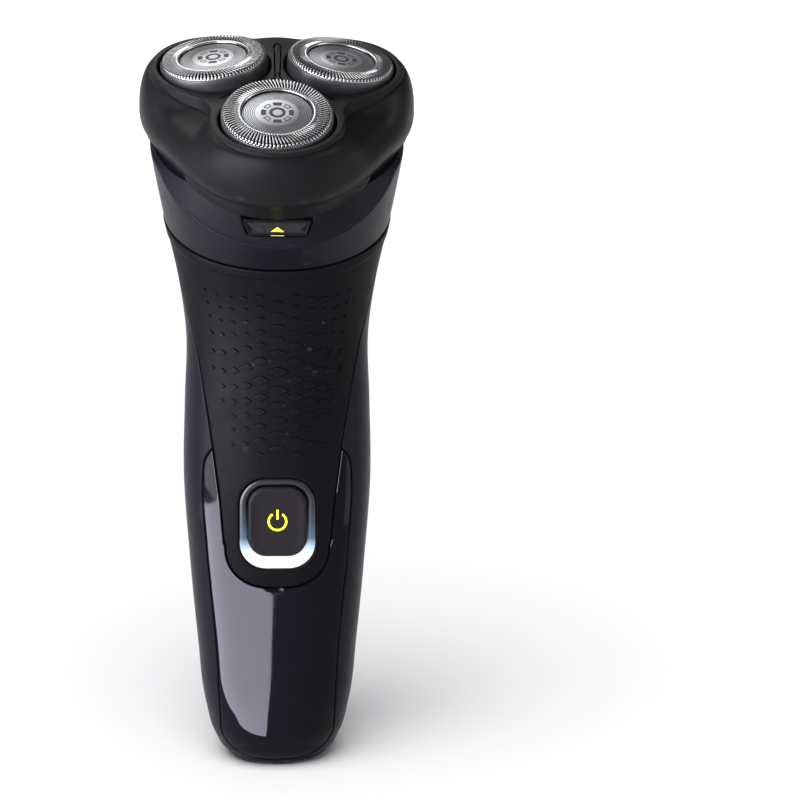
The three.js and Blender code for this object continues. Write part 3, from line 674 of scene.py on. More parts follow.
def rear_shell():
    inset = GAP / 2
    edge = 0.3
    low = np.array([0.0, 0.06, 0.15, 0.3, 0.5, 0.8, 1.1, 1.4, FOOT_LOW - inset - 0.02])
    rows = np.concatenate([
        low,
        arc_heights(FOOT_LOW - inset, FOOT_TOP, FOOT_POWER, 24, 2.0),
        np.linspace(FOOT_TOP, PANEL_TIP - 3, 60)[1:],
        np.linspace(PANEL_TIP - 3, PANEL_TIP + 0.5, 14)[1:],
        np.linspace(PANEL_TIP + 0.5, SEAM_TOP - 3.6, 46)[1:],
        SEAM_TOP - np.array([3.4, 3.3, 3.1, 2.9, 2.2, 1.4, 0.8, 0.4, 0.2, 0.08, 0.0]),
    ])
    near = np.array([0, 0.05, 0.14, 0.3, 0.6, 1.1]) / 100
    fractions = np.concatenate([near, np.linspace(0.018, 0.982, 120), 1 - near[::-1]])
    start = np.where(rows < FOOT_LOW - inset, 0.0, np.maximum(panel_edge(rows, inset), 0))
    by_grip = np.maximum(np.where(rows < PANEL_TIP, start, 0), grip_edge(rows, inset))
    start = np.where(rows > 60, by_grip, start)
    theta = start[:, None] + (TAU - 2 * start[:, None]) * fractions[None, :]
    heights = np.repeat(rows[:, None], len(fractions), 1)
    arc = np.minimum(theta - start[:, None], TAU - start[:, None] - theta) * MEAN_RADIUS
    arc = np.minimum(np.where(start[:, None] > 0, arc, FAR), FAR)
    depth = rolled(arc, edge) + rolled(SEAM_TOP - heights, edge) - seam_lip(heights)
    outer, inner = skin_pair(theta.ravel(), heights.ravel(), depth.ravel())
    wall = welded_wall(outer, inner, grid_faces(*theta.shape), 2e-3)
    points, faces = join_parts(wall, base_plate())
    make_piece("rear_case", points, faces, BODY, "handle", ["rear_shell"], "satin_body")


def base_plate():
    """The flat base with the charging inlet through it."""
    angles = np.linspace(0, TAU, 97)[:-1]
    ring = skin(angles, 0.0)[:, :2]
    ring_inner = ring * 0.985
    inlet = rounded_rectangle(7.8, 4.4, 1.0, 3.9, 5)
    inlet_wide = rounded_rectangle(8.4, 5.0, 1.3, 3.9, 5)
    loose = np.array([(x, y) for x in np.arange(-8, 8.1, 0.8) for y in np.arange(-7, 7.1, 0.8)])
    clear = points_inside(loose, ring_inner * 0.96) & ~points_inside(loose, inlet_wide)
    clear &= distance_to(loose, inlet_wide) > 0.3
    points, loops = [], []
    for loop in (ring_inner, inlet, inlet_wide):
        add_loop(points, loops, loop)
    points.append(loose[clear])
    flat, faces = triangulate(np.concatenate(points), loops, [(ring_inner, True), (inlet, False)])
    sunk = rolled(distance_to(flat, inlet), 0.3)
    outer = np.stack([flat[:, 0], flat[:, 1], sunk], -1)
    inner = np.stack([flat[:, 0], flat[:, 1], np.full(len(flat), 2.3)], -1)
    faces = [list(reversed(f)) for f in faces]
    return thicken(outer, inner, faces)


def rounded_rectangle(width, height, radius, centre=0.0, steps=8):
    """Points round a rectangle with round corners, counter-clockwise, its second coordinate about centre."""
    points = []
    for sx, sy, start in ((1, -1, -90), (1, 1, 0), (-1, 1, 90), (-1, -1, 180)):
        for a in np.radians(np.linspace(start, start + 90, steps + 1)):
            x = sx * (width / 2 - radius) + radius * math.cos(a)
            y = centre + sy * (height / 2 - radius) + radius * math.sin(a)
            points.append((x, y))
    return np.array(points)


rear_shell()

# ---------------------------------------------------------------- lofts and small solids


def facing_out(points, faces):
    """The same closed mesh with its faces pointing outward."""
    p = np.asarray(points, float)
    volume = 0.0
    for face in faces:
        a = p[face[0]]
        for k in range(1, len(face) - 1):
            volume += float(np.dot(a, np.cross(p[face[k]], p[face[k + 1]])))
    return (p, faces) if volume > 0 else (p, [list(reversed(f)) for f in faces])


def loft_loops(loops, ring=False):
    """A closed mesh through equal loops. ring joins the last to the first; otherwise both are capped."""
    loops = [np.asarray(loop, float) for loop in loops]
    count = len(loops[0])
    if ring:
        loops = loops + [loops[0]]
    points = np.concatenate(loops)
    faces = grid_faces(len(loops), count, closed=True)
    if ring:
        last = (len(loops) - 1) * count
        faces = [[i - last if i >= last else i for i in f] for f in faces]
        points = points[:last]
    else:
        for start, flip in ((0, True), ((len(loops) - 1) * count, False)):
            hub = len(points)
            points = np.concatenate([points, points[start:start + count].mean(0)[None]])
            for k in range(count):
                pair = [start + k, start + (k + 1) % count]
                faces.append([hub, *(reversed(pair) if flip else pair)])
    return facing_out(points, faces)


def turned(profile, count=96):
    """A closed (radius, height) profile turned about Z. A point on the axis has radius 0."""
    angles = np.arange(count) / count * TAU
    c, s = np.cos(angles), np.sin(angles)
    loops = [np.stack([r * c, r * s, np.full(count, float(z))], -1) for r, z in profile]
    points, faces = loft_loops(loops, ring=True)
    points, faces, _ = weld(points, faces, 1e-4)
    return facing_out(points, faces)


def prism(outline, depth, bevel=0.04):
    """A flat shape in X and Z that stands `depth` proud of y = 0 towards -Y, with a soft front edge."""
    outline = np.asarray(outline, float)
    centre = outline.mean(0)

    def loop(y, inset):
        reach = np.linalg.norm(outline - centre, axis=1, keepdims=True)
        flat = centre + (outline - centre) * (1 - inset / np.maximum(reach, 1e-6))
        return np.stack([flat[:, 0], np.full(len(flat), y), flat[:, 1]], -1)

    return loft_loops([loop(0.12, 0), loop(-depth + bevel, 0), loop(-depth, bevel)])


def moved(part, matrix=None, shift=(0, 0, 0)):
    points, faces = part
    if matrix is not None:
        points = points @ np.asarray(matrix, float).T
    return points + np.asarray(shift, float), faces


def ribbon(centre_line, width):
    """The left and the right side of a stroke of this width along a centre line in a plane."""
    line = np.asarray(centre_line, float)
    along = np.gradient(line, axis=0)
    along /= np.linalg.norm(along, axis=1, keepdims=True)
    side = np.stack([-along[:, 1], along[:, 0]], -1) * width / 2
    return line + side, line - side


def stroke(centre_line, width, depth):
    """A stroke as a closed solid, proud of y = 0 towards -Y."""
    left, right = ribbon(centre_line, width)
    rows = []
    for y, shrink in ((0.12, 0), (-depth + 0.03, 0), (-depth, 0.03)):
        middle = (left + right) / 2
        scale = 1 - 2 * shrink / width
        for edge in (left, right):
            flat = middle + (edge - middle) * scale
            rows.append(np.stack([flat[:, 0], np.full(len(flat), y), flat[:, 1]], -1))
    # the section's points in order round it: up the left side, and down the right side
    section = [rows[0], rows[2], rows[4], rows[5], rows[3], rows[1]]
    return loft_loops(list(np.stack(section, 1)))


# ---------------------------------------------------------------- front grip with its raised pads

PAD_ROWS = curve([  # number of the row, and its height in the middle column
    (-1, 76.1), (0, 79.7), (3, 90.2), (4, 94.1), (5, 98.9), (6, 104.0), (7, 108.0), (11, 123.6),
])
PAD_HALF = curve([  # height, and half size
    (76, 1.3), (86, 1.65), (92, 2.1), (97, 2.4), (101, 2.3), (105, 1.8), (110, 1.4), (118, 1.2), (124, 0.9),
])
PAD_POWER = 1.22  # 1 is a rhombus, and 2 an ellipse
PAD_STEP = math.radians(8.3)
PAD_HEIGHT = 0.4
PAD_RISE = 0.26  # times a column's number squared, its height above the middle column


def pads():
    """(u, v, half width, half height) of each raised pad."""
    found = []
    for column in range(-5, 6):
        across = abs(column)
        for place in np.arange(-0.5 if across % 2 else 0.0, 10.6, 1.0):
            level = float(PAD_ROWS(place))
            height = level + PAD_RISE * column**2
            if height > 122.5 or across > (3 if level < 85 else 4 if level < 92 else 5):
                continue
            half = float(PAD_HALF(level)) * (1 - 0.5 * across * PAD_STEP / math.radians(41))
            found.append((column * PAD_STEP * MEAN_RADIUS, height, half * 0.76, half * 0.58))
    return found


def pad_outline(u, v, half_width, half_height, scale=1.0):
    angles = np.arange(24) / 24 * TAU
    x = half_width * scale * signed_power(np.cos(angles), 2 / PAD_POWER)
    y = half_height * scale * signed_power(np.sin(angles), 2 / PAD_POWER)
    return np.stack([u + x, v + y], -1)


def ring_opening(grow):
    """The grip's opening for the light ring, in the grip's own (u, v)."""
    front = rounded_rectangle(RING_WIDTH + 2 * grow, RING_HEIGHT + 2 * grow, RING_CORNER + grow, RING_Z, 9)
    v = front[:, 1].copy()
    for _ in range(4):
        theta = theta_at(front[:, 0], v)
        v += front[:, 1] - skin(theta, v)[:, 2]
    return np.stack([theta_at(front[:, 0], v) * MEAN_RADIUS, v], -1)


def grip_loop(inset):
    """The grip's outline moved inward, as one loop from the lowest point."""
    grow = -(GAP / 2 + inset)
    rows = np.concatenate([
        arc_heights(TONGUE_LOW - grow, TONGUE_TOP, TONGUE_POWER, 26, 0.0),
        np.arange(TONGUE_TOP + 1.0, SEAM_TOP - inset, 1.0),
        [SEAM_TOP - inset],
    ])
    right = np.stack([grip_edge(rows, grow) * MEAN_RADIUS, rows], -1)
    across = np.linspace(1, -1, 61)[1:-1] * right[-1, 0]
    top = np.stack([across, np.full(len(across), SEAM_TOP - inset)], -1)
    return np.concatenate([right, top, right[::-1][:-1] * [-1, 1]])


def front_grip():
    points, loops = [], []
    outer_edge, opening, all_pads = grip_loop(0.0), ring_opening(GAP / 2), pads()
    for step in EDGE_STEPS:
        add_loop(points, loops, grip_loop(step))
    for step in (0.0, 0.06, 0.15, 0.3, 0.5):
        add_loop(points, loops, ring_opening(GAP / 2 + step))
    for pad in all_pads:
        for scale in (1.0, 0.87, 0.7):
            add_loop(points, loops, pad_outline(*pad, scale))
    for offset in (2.7, 2.9, 3.1, 3.3):  # lines of points across the lip
        height = SEAM_TOP - offset
        half = float(grip_edge(height, -0.7)) * MEAN_RADIUS
        points.append(np.stack([np.linspace(-half, half, 70), np.full(70, height)], -1))
    u, v = np.meshgrid(np.arange(-32, 32.1, 0.95), np.arange(46, 132, 0.85))
    u[1::2] += 0.47
    loose = np.stack([u.ravel(), v.ravel()], -1)
    clear = points_inside(loose, grip_loop(0.6)) & ~points_inside(loose, ring_opening(GAP / 2 + 0.8))
    for pad in all_pads:
        clear &= ~points_inside(loose, pad_outline(*pad, 1.12))
    points.append(loose[clear])
    flat, faces = triangulate(np.concatenate(points), loops, [(outer_edge, True), (opening, False)])
    depth = rolled(distance_to(flat, outer_edge), EDGE_RADIUS)
    depth += rolled(distance_to(flat, opening), 0.45)
    depth -= seam_lip(flat[:, 1])
    for u, v, half_width, half_height in all_pads:
        near = np.abs((flat[:, 0] - u) / half_width) ** PAD_POWER
        near = near + np.abs((flat[:, 1] - v) / half_height) ** PAD_POWER
        level = np.clip(1 - near ** (1 / PAD_POWER), 0, 1)
        depth -= PAD_HEIGHT * (smoothstep(0.0, 0.13, level) + 0.2 * smoothstep(0.1, 1.0, level))
    outer, inner = skin_pair(flat[:, 0] / MEAN_RADIUS, flat[:, 1], depth)
    points, faces = thicken(outer, inner, faces)
    make_piece("grip_cover", points, faces, GRIP, "handle", ["front_grip"], "grip", sharp=50)


front_grip()

# ---------------------------------------------------------------- light ring, power button and its symbol


def front_loop(width, height, radius, centre, y):
    """A rounded rectangle in X and Z that faces the front, at this y."""
    flat = rounded_rectangle(width, height, max(radius, 0.05), centre, 9)
    return np.stack([flat[:, 0], np.full(len(flat), float(y)), flat[:, 1]], -1)


def light_ring():
    outer = front_loop(RING_WIDTH, RING_HEIGHT, RING_CORNER, RING_Z, -15.4)
    inner = front_loop(13.9, 16.8, 4.4, BUTTON_Z, -15.4)
    loops = [outer]
    section = [(0, -17.2), (0.03, -17.38), (0.09, -17.5), (0.3, -17.6), (0.5, -17.63)]
    section += [(0.7, -17.6), (0.91, -17.5), (0.97, -17.38), (1, -17.2)]
    for t, y in section:
        loop = outer + (inner - outer) * t
        loop[:, 1] = y
        loops.append(loop)
    loops.append(inner)
    points, faces = loft_loops(loops, ring=True)
    make_piece("light_guide_ring", points, faces, LIGHT, "handle", ["light_ring"], "light_guide")


def power_button():
    loops = [front_loop(BUTTON_WIDTH - 0.8, BUTTON_HEIGHT - 0.8, 3.6, BUTTON_Z, -14.95)]
    dish = [(0, -15.2), (0, -17.9), (0.04, -18.12), (0.13, -18.3), (0.3, -18.44), (0.55, -18.5)]
    dish += [(0.85, -18.46), (1.4, -18.33), (2.4, -18.26), (3.6, -18.23)]
    for inset, y in dish:
        width, height = BUTTON_WIDTH - 2 * inset, BUTTON_HEIGHT - 2 * inset
        loops.append(front_loop(width, height, min(4 - inset * 0.5, 0.47 * width), BUTTON_Z, y))
    points, faces = loft_loops(loops)
    make_piece("power_key", points, faces, BUTTON, "power_button", ["power_button"], "button_plastic")
    centre = BUTTON_Z + 0.2
    arc = np.radians(np.linspace(90 + 33, 90 + 327, 49))
    circle = np.stack([1.99 * np.cos(arc), centre + 1.99 * np.sin(arc)], -1)
    bar = np.stack([np.zeros(9), np.linspace(centre + 0.5, centre + 2.75, 9)], -1)
    symbol = join_parts(stroke(circle, 0.5, 0.05), stroke(bar, 0.5, 0.05))
    make_piece("power_symbol", *moved(symbol, shift=(0, -18.24, 0)), YELLOW, "power_button")


light_ring()
power_button()

# ---------------------------------------------------------------- collar with its hair chamber, head frame

CHAMBER_TOP, CHAMBER_BOTTOM, CHAMBER_FLOOR = -14.4, -SEAM_DROP + GAP, -30.6
COLLAR_POWER = 2.12
KEY_TOP, KEY_FRONT = -18.5, -25.3  # h and y of the release button's upper front edge


def neck_points(angle, half_width, front, back, exponent=COLLAR_POWER):
    """(x, y) round the neck; front and back are where the ring meets the middle plane."""
    s, c = np.sin(angle), np.cos(angle)
    depth = np.where(c >= 0, SEAM_SHIFT - front, back - SEAM_SHIFT)
    return half_width * signed_power(s, 2 / exponent), SEAM_SHIFT - depth * signed_power(c, 2 / exponent)


def ridge_height(y):
    return np.minimum(-8 + (y - SEAM_SHIFT) * 0.586, CHAMBER_TOP - 0.9)


def collar_skin(angle, level, inset=0.0):
    """The collar's outside. level runs from 0 at the seam, by 1 at the ridge, to 2 at the rim."""
    angle, level = np.broadcast_arrays(np.asarray(angle, float), np.asarray(level, float))
    low, high = np.clip(level, 0, 1), np.clip(level - 1, 0, 1)
    swell = 0.35 * 4 * low * (1 - low)
    half = 26 + 2.3 * low - 1.0 * high**1.15 - inset + swell * 0.2
    front = -23.6 - 3.0 * low + 2.2 * high + inset - swell * 0.4
    back = 25.4 + 0.2 * low - 0.4 * high - inset
    x, y = neck_points(angle, half, front, back)
    ridge = ridge_height(y)
    below = CHAMBER_BOTTOM + (ridge - CHAMBER_BOTTOM) * low
    above = ridge + (CHAMBER_TOP - ridge) * high
    return np.stack([x, y, np.where(level <= 1, below, above)], -1)


def collar_normal(angle, level):
    d = 1e-3
    along = collar_skin(angle + d, level) - collar_skin(angle - d, level)
    up = collar_skin(angle, np.asarray(level) + 0.01) - collar_skin(angle, np.asarray(level) - 0.01)
    n = np.cross(along, up)
    return n / np.maximum(np.linalg.norm(n, axis=-1, keepdims=True), 1e-9)


def button_outline(grow, raised=0.0):
    """The release button's outline as (x, h): a trapezoid with round corners, wider above."""
    top, bottom = KEY_TOP + raised + grow, -22.3 - grow
    wide, narrow, radius = 7.5 + grow, 6.5 + grow, 0.7 + grow
    points = []
    corners = ((narrow, bottom, -90), (wide, top, 0), (-wide, top, 90), (-narrow, bottom, 180))
    for x, h, start in corners:
        cx = x - math.copysign(radius, x)
        ch = h - math.copysign(radius, h - (top + bottom) / 2)
        for a in np.radians(np.linspace(start, start + 90, 6)):
            points.append((cx + radius * math.cos(a), ch + radius * math.sin(a)))
    return np.array(points)


def on_collar(outline):
    """Points seen from the front as (x, h), as (angle, level) on the collar above its ridge."""
    angle = np.arcsin(np.clip(outline[:, 0] / 28, -1, 1))
    level = np.full(len(outline), 1.5)
    for _ in range(12):
        p = collar_skin(angle, level)
        ridge = ridge_height(p[:, 1])
        level = np.clip(1 + (outline[:, 1] - ridge) / (CHAMBER_TOP - ridge), 1, 2)
        angle = angle + (outline[:, 0] - p[:, 0]) / 27
    return np.stack([angle, level], -1)


def subdivided(outline, longest):
    result = []
    for k in range(len(outline)):
        a, b = outline[k - 1], outline[k]
        steps = max(1, int(np.ceil(np.linalg.norm(b - a) / longest)))
        result += [a + (b - a) * i / steps for i in range(steps)]
    return np.array(result)


def collar():
    columns = 200
    patch = 24  # columns on each side of the front that the button's opening takes up
    angles = np.arange(columns) / columns * TAU
    low_levels = [[0, 0.004, 0.012, 0.03], np.linspace(0.06, 0.93, 26), [0.96, 0.98, 0.99, 1.0]]
    high_levels = [[1.0, 1.015, 1.04, 1.08], np.linspace(1.15, 1.9, 12), [1.94, 1.965, 1.985, 2.0]]
    low_levels, high_levels = np.concatenate(low_levels), np.concatenate(high_levels)
    parts = []

    def patch_of(angle, level, faces):
        """An outer and an inner skin with a rounded ridge, seam edge and rim."""
        surface, normal = collar_skin(angle, level), collar_normal(angle, level)
        ridge_round = 0.22 * np.exp(-(((level - 1) / 0.022) ** 2))
        sunk = ridge_round + rolled(level * 15, 0.3) + rolled((2 - level) * 9, 0.45)
        outer = surface - normal * sunk[..., None]
        inner = collar_skin(angle, level, 1.9)
        inner[..., 2] = np.maximum(inner[..., 2], CHAMBER_FLOOR - 1)
        parts.append((outer, inner, faces))

    a, s = np.meshgrid(angles, low_levels)
    patch_of(a.ravel(), s.ravel(), grid_faces(len(low_levels), columns, closed=True))
    behind = np.arange(patch, columns - patch + 1)
    a, s = np.meshgrid(angles[behind], high_levels)
    patch_of(a.ravel(), s.ravel(), grid_faces(len(high_levels), len(behind)))
    front_angles = np.arange(-patch, patch + 1) / columns * TAU
    a, s = np.meshgrid(front_angles, high_levels)
    scale = np.array([27.0, 9.5])  # millimetres for one radian, and for one level
    cells = np.stack([a.ravel(), s.ravel()], -1) * scale
    loops, points = [], []
    for grow in (0.3, 0.36, 0.46, 0.62, 0.9):
        add_loop(points, loops, on_collar(subdivided(button_outline(grow, raised=1.1), 0.6)) * scale)
    opening = points[0]
    clear = ~points_inside(cells, points[-1]) & (distance_to(cells, points[-1]) > 0.12)
    edge = (np.abs(a.ravel()) > front_angles[-1] - 1e-6) | (s.ravel() < 1 + 1e-6) | (s.ravel() > 2 - 1e-6)
    points.append(cells[clear | edge])
    flat, faces = triangulate(np.concatenate(points), loops, [(opening, False)])
    angle, level = flat[:, 0] / scale[0], flat[:, 1] / scale[1]
    patch_of(angle, level, faces)
    outer, inner, _ = parts[-1]
    lip = rolled(distance_to(flat, opening), 0.5)
    parts[-1] = (outer - collar_normal(angle, level) * lip[:, None], inner, faces)
    outer, faces = join_parts(*[(o, f) for o, _, f in parts])
    inner = np.concatenate([i for _, i, _ in parts])
    pieces = [facing_out(*welded_wall(outer, inner, faces, 2e-3)), collar_floor()]
    for side in (-1, 1):
        pieces += collar_knuckle(side)
    points, faces = join_parts(*pieces)
    make_piece(
        "collar", to_row(points), faces, COLLAR, "handle", ["hair_chamber"], "satin_body", sharp=34
    )


def collar_floor():
    """The chamber's floor, with holes for the motor shaft and the three gear hubs."""
    around = np.arange(96) / 96 * TAU
    rim = np.stack(neck_points(around, 24.6, -22.9, 24.0), -1)
    holes = [(0, 0)] + [(DRIVE * math.cos(a), DRIVE * math.sin(a)) for a in CAP_ANGLES]
    circles = [np.stack([x + 1.5 * np.cos(around[::4]), y + 1.5 * np.sin(around[::4])], -1) for x, y in holes]
    points = np.concatenate([rim] + circles)
    loops = [list(range(96))] + [list(range(96 + 24 * k, 120 + 24 * k)) for k in range(4)]
    flat, faces = triangulate(points, loops, [(rim, True)] + [(c, False) for c in circles])
    top = np.column_stack([flat, np.full(len(flat), CHAMBER_FLOOR)])
    bottom = np.column_stack([flat, np.full(len(flat), CHAMBER_BOTTOM + 0.05)])
    return facing_out(*thicken(top, bottom, faces))


DRIVE = 15.4
HINGE_Y, HINGE_H = 27.8, -15.6
TO_X = np.array([[0, 0, 1], [0, 1, 0], [-1, 0, 0]])  # turns +Z to +X


def knuckle(x0, x1):
    """A hinge barrel along X with eased ends."""
    radius, bore = 1.9, 1.1
    ease = [(bore, 0.1), (bore + 0.1, 0), (radius - 0.25, 0), (radius - 0.07, 0.07), (radius, 0.25)]
    profile = [(r, x0 + d) for r, d in ease] + [(r, x1 - d) for r, d in reversed(ease)]
    return moved(turned(profile, 40), TO_X, (0, HINGE_Y, HINGE_H))


def eased_block(x0, x1, y0, y1, h0, h1, radius=0.5):
    """A block with rounded upright edges and eased ends."""
    flat = rounded_rectangle(x1 - x0, y1 - y0, radius, (y0 + y1) / 2, 4)
    flat[:, 0] += (x0 + x1) / 2
    middle = flat.mean(0)
    loops = []
    ends = [(h0, 0.2), (h0 + 0.06, 0.06), (h0 + 0.2, 0), (h1 - 0.2, 0), (h1 - 0.06, 0.06), (h1, 0.2)]
    for h, inset in ends:
        size = np.array([x1 - x0, y1 - y0])
        loop = middle + (flat - middle) * (size - 2 * inset) / size
        loops.append(np.column_stack([loop, np.full(len(loop), h)]))
    return loft_loops(loops)


def collar_knuckle(side):
    x0, x1 = sorted((side * 6.3, side * 10.3))
    return [knuckle(x0, x1), eased_block(x0, x1, 24.4, 29.0, -20.5, -15.8, 0.6)]


collar()


def release_button():
    lean = (26.6 - 25.3) / (22.2 - 18.5)

    def loop(grow, proud):
        flat = button_outline(grow)
        y = KEY_FRONT + lean * (flat[:, 1] - KEY_TOP) - proud
        return np.column_stack([flat[:, 0], y, flat[:, 1]])

    # how much each loop is larger than the outline, and how far it stands out: narrow behind, dished in front
    steps = [(-1.0, -1.9), (-0.85, -1.7), (-0.42, -0.6), (-0.27, -0.25), (-0.27, -0.12), (-0.34, -0.03)]
    steps += [(-0.46, 0.0), (-0.6, 0.0), (-0.68, -0.04), (-0.74, -0.07), (-0.84, -0.08), (-1.3, -0.1)]
    points, faces = loft_loops([loop(*step) for step in steps])
    make_piece(
        "release_key", to_row(points), faces, GRIP, "release_button", ["release_button"], "button_plastic"
    )
    tilt = math.atan(lean)
    turn = np.array([[1, 0, 0], [0, math.cos(tilt), math.sin(tilt)], [0, -math.sin(tilt), math.cos(tilt)]])
    triangle = subdivided(np.array([(-1.42, -0.02), (1.42, -0.02), (0, 1.02)]), 0.25)
    bar = subdivided(np.array([(-1.42, -0.92), (1.42, -0.92), (1.42, -0.56), (-1.42, -0.56)]), 0.25)
    symbol = join_parts(prism(triangle, 0.05), prism(bar, 0.05, 0.02))
    face = (0, KEY_FRONT + lean * (-21.2 - KEY_TOP) + 0.1, -21.2)
    points, faces = moved(symbol, turn, face)
    make_piece("release_symbol", to_row(points), faces, YELLOW, "release_button")


release_button()

# ---------------------------------------------------------------- top frame of the shaving unit, head frame

LOBE_RADIUS, WAIST_RADIUS, BACK_BULGE = 14.0, 17.6, 4.6
RIM_H, CREASE_H, BELT_H = -14.0, -13.5, -8.5
LIP_END = 55.0  # degrees from the front at which the skirt's lip has died out
# each of these is given by the angle from the front, in degrees
LIP_RADIUS = curve([(0, 26.35), (18, 26.6), (27, 26.85), (35, 27.05), (41, 27), (48, 26.2), (LIP_END, 24.6)])
LIP_HEIGHT = curve([(0, -18), (18, -17.6), (27, -16.7), (35, -15.7), (41, -14.7), (48, -14), (LIP_END, -14)])
LIP_WALL = curve([(0, 0.6), (41, 0.7), (48, 1.3), (LIP_END, 1.9)])


def plateau_radius(angle):
    """Radius of the flat top's edge: round lobes about the caps, joined by hollow waists."""
    angle = np.asarray(angle, float)
    lobe = np.zeros_like(angle)
    for cap in CAP_ANGLES:
        off = angle - cap
        reach = LOBE_RADIUS**2 - (CAP_RING * np.sin(off)) ** 2
        far = CAP_RING * np.cos(off) + np.sqrt(np.maximum(reach, 0))
        lobe = np.maximum(lobe, np.where((reach > 0) & (np.cos(off) > 0), far, 0))
    waist = WAIST_RADIUS + BACK_BULGE * np.maximum(np.sin(angle), 0) ** 6
    return (lobe**10 + waist**10) ** 0.1


def lobed(base, swing):
    return lambda angle: base + swing * np.cos(3 * (np.asarray(angle) - CAP_ANGLES[0]))


rim_radius, low_radius, belt_radius = lobed(26.4, 2.7), lobed(28.9, 2.7), lobed(29.7, 2.6)


def polar(radius, angle, height, stretch=1.0):
    height = np.broadcast_to(np.asarray(height, float), np.shape(angle))
    return np.stack([stretch * radius * np.cos(angle), radius * np.sin(angle), height], -1)


def top_height(x, y):
    """The flat top rises a little towards its middle."""
    r = np.hypot(x, y)
    edge = plateau_radius(np.arctan2(y, x))
    return 0.5 * smoothstep(0.0, 9.0, edge - 0.9 - r)


def groove_outline(inset=0.0):
    """The three-armed groove between the caps: straight to the back, and two arms that taper to a point."""
    points = []
    arms = ((math.radians(90), [(2.2, 0.7), (8, 0.8), (14, 0.84), (18.2, 0.7), (19.0, 0.2)]),
            (math.radians(210), [(2.2, 0.5), (5, 0.75), (9, 0.95), (12, 0.6), (14.6, 0.06)]),
            (math.radians(330), [(2.2, 0.5), (5, 0.75), (9, 0.95), (12, 0.6), (14.6, 0.06)]))
    for angle, half in arms:
        width = curve(half)
        radii = np.linspace(half[0][0], half[-1][0], 22)
        reach = radii - inset * (radii - 2.2) / (half[-1][0] - 2.2) * 1.5
        side = np.maximum(width(radii) - inset, 0.02)
        c, s = math.cos(angle), math.sin(angle)
        right = np.stack([reach * c + side * s, reach * s - side * c], -1)
        left = np.stack([reach * c - side * s, reach * s + side * c], -1)
        points.append(np.concatenate([right, left[::-1]]))
    return np.concatenate(points)


def cheek_profile(angle):
    """Loops of the outside from the top's edge down to the belt, as (radius, height) pairs."""
    edge, belt = plateau_radius(angle), belt_radius(angle)
    room = np.maximum(belt - edge, 0.5)
    hollow = smoothstep(3.0, 9.0, room)
    wall = 0.35 + 1.75 * hollow
    loops = []
    for t in (0.0, 0.12, 0.3, 0.55, 0.8, 1.0):
        a = t * math.pi / 2
        loops.append((edge - 0.45 + 0.45 * math.sin(a), -0.45 * (1 - math.cos(a))))
    for t in (0.35, 0.7, 0.9, 1.0):
        loops.append((edge + 0.3 * t * hollow + 0.06 * t, -0.45 - wall * t))
    foot_r, foot_h = edge + 0.3 * hollow + 0.06, -0.45 - wall
    for s in np.concatenate([[0.03, 0.07], np.linspace(0.12, 1, 24)]):
        a = s * math.pi / 2
        bend = 1.0 + 0.25 * hollow
        r = foot_r + (belt - foot_r) * math.sin(a) ** (1.0 + 0.35 * hollow)
        h = foot_h + (BELT_H - foot_h) * (1 - max(math.cos(a), 0) ** bend)
        dip = 0.55 * hollow * math.sin(math.pi * min(s / 0.55, 1)) ** 2
        loops.append((r, h - dip))
    return loops


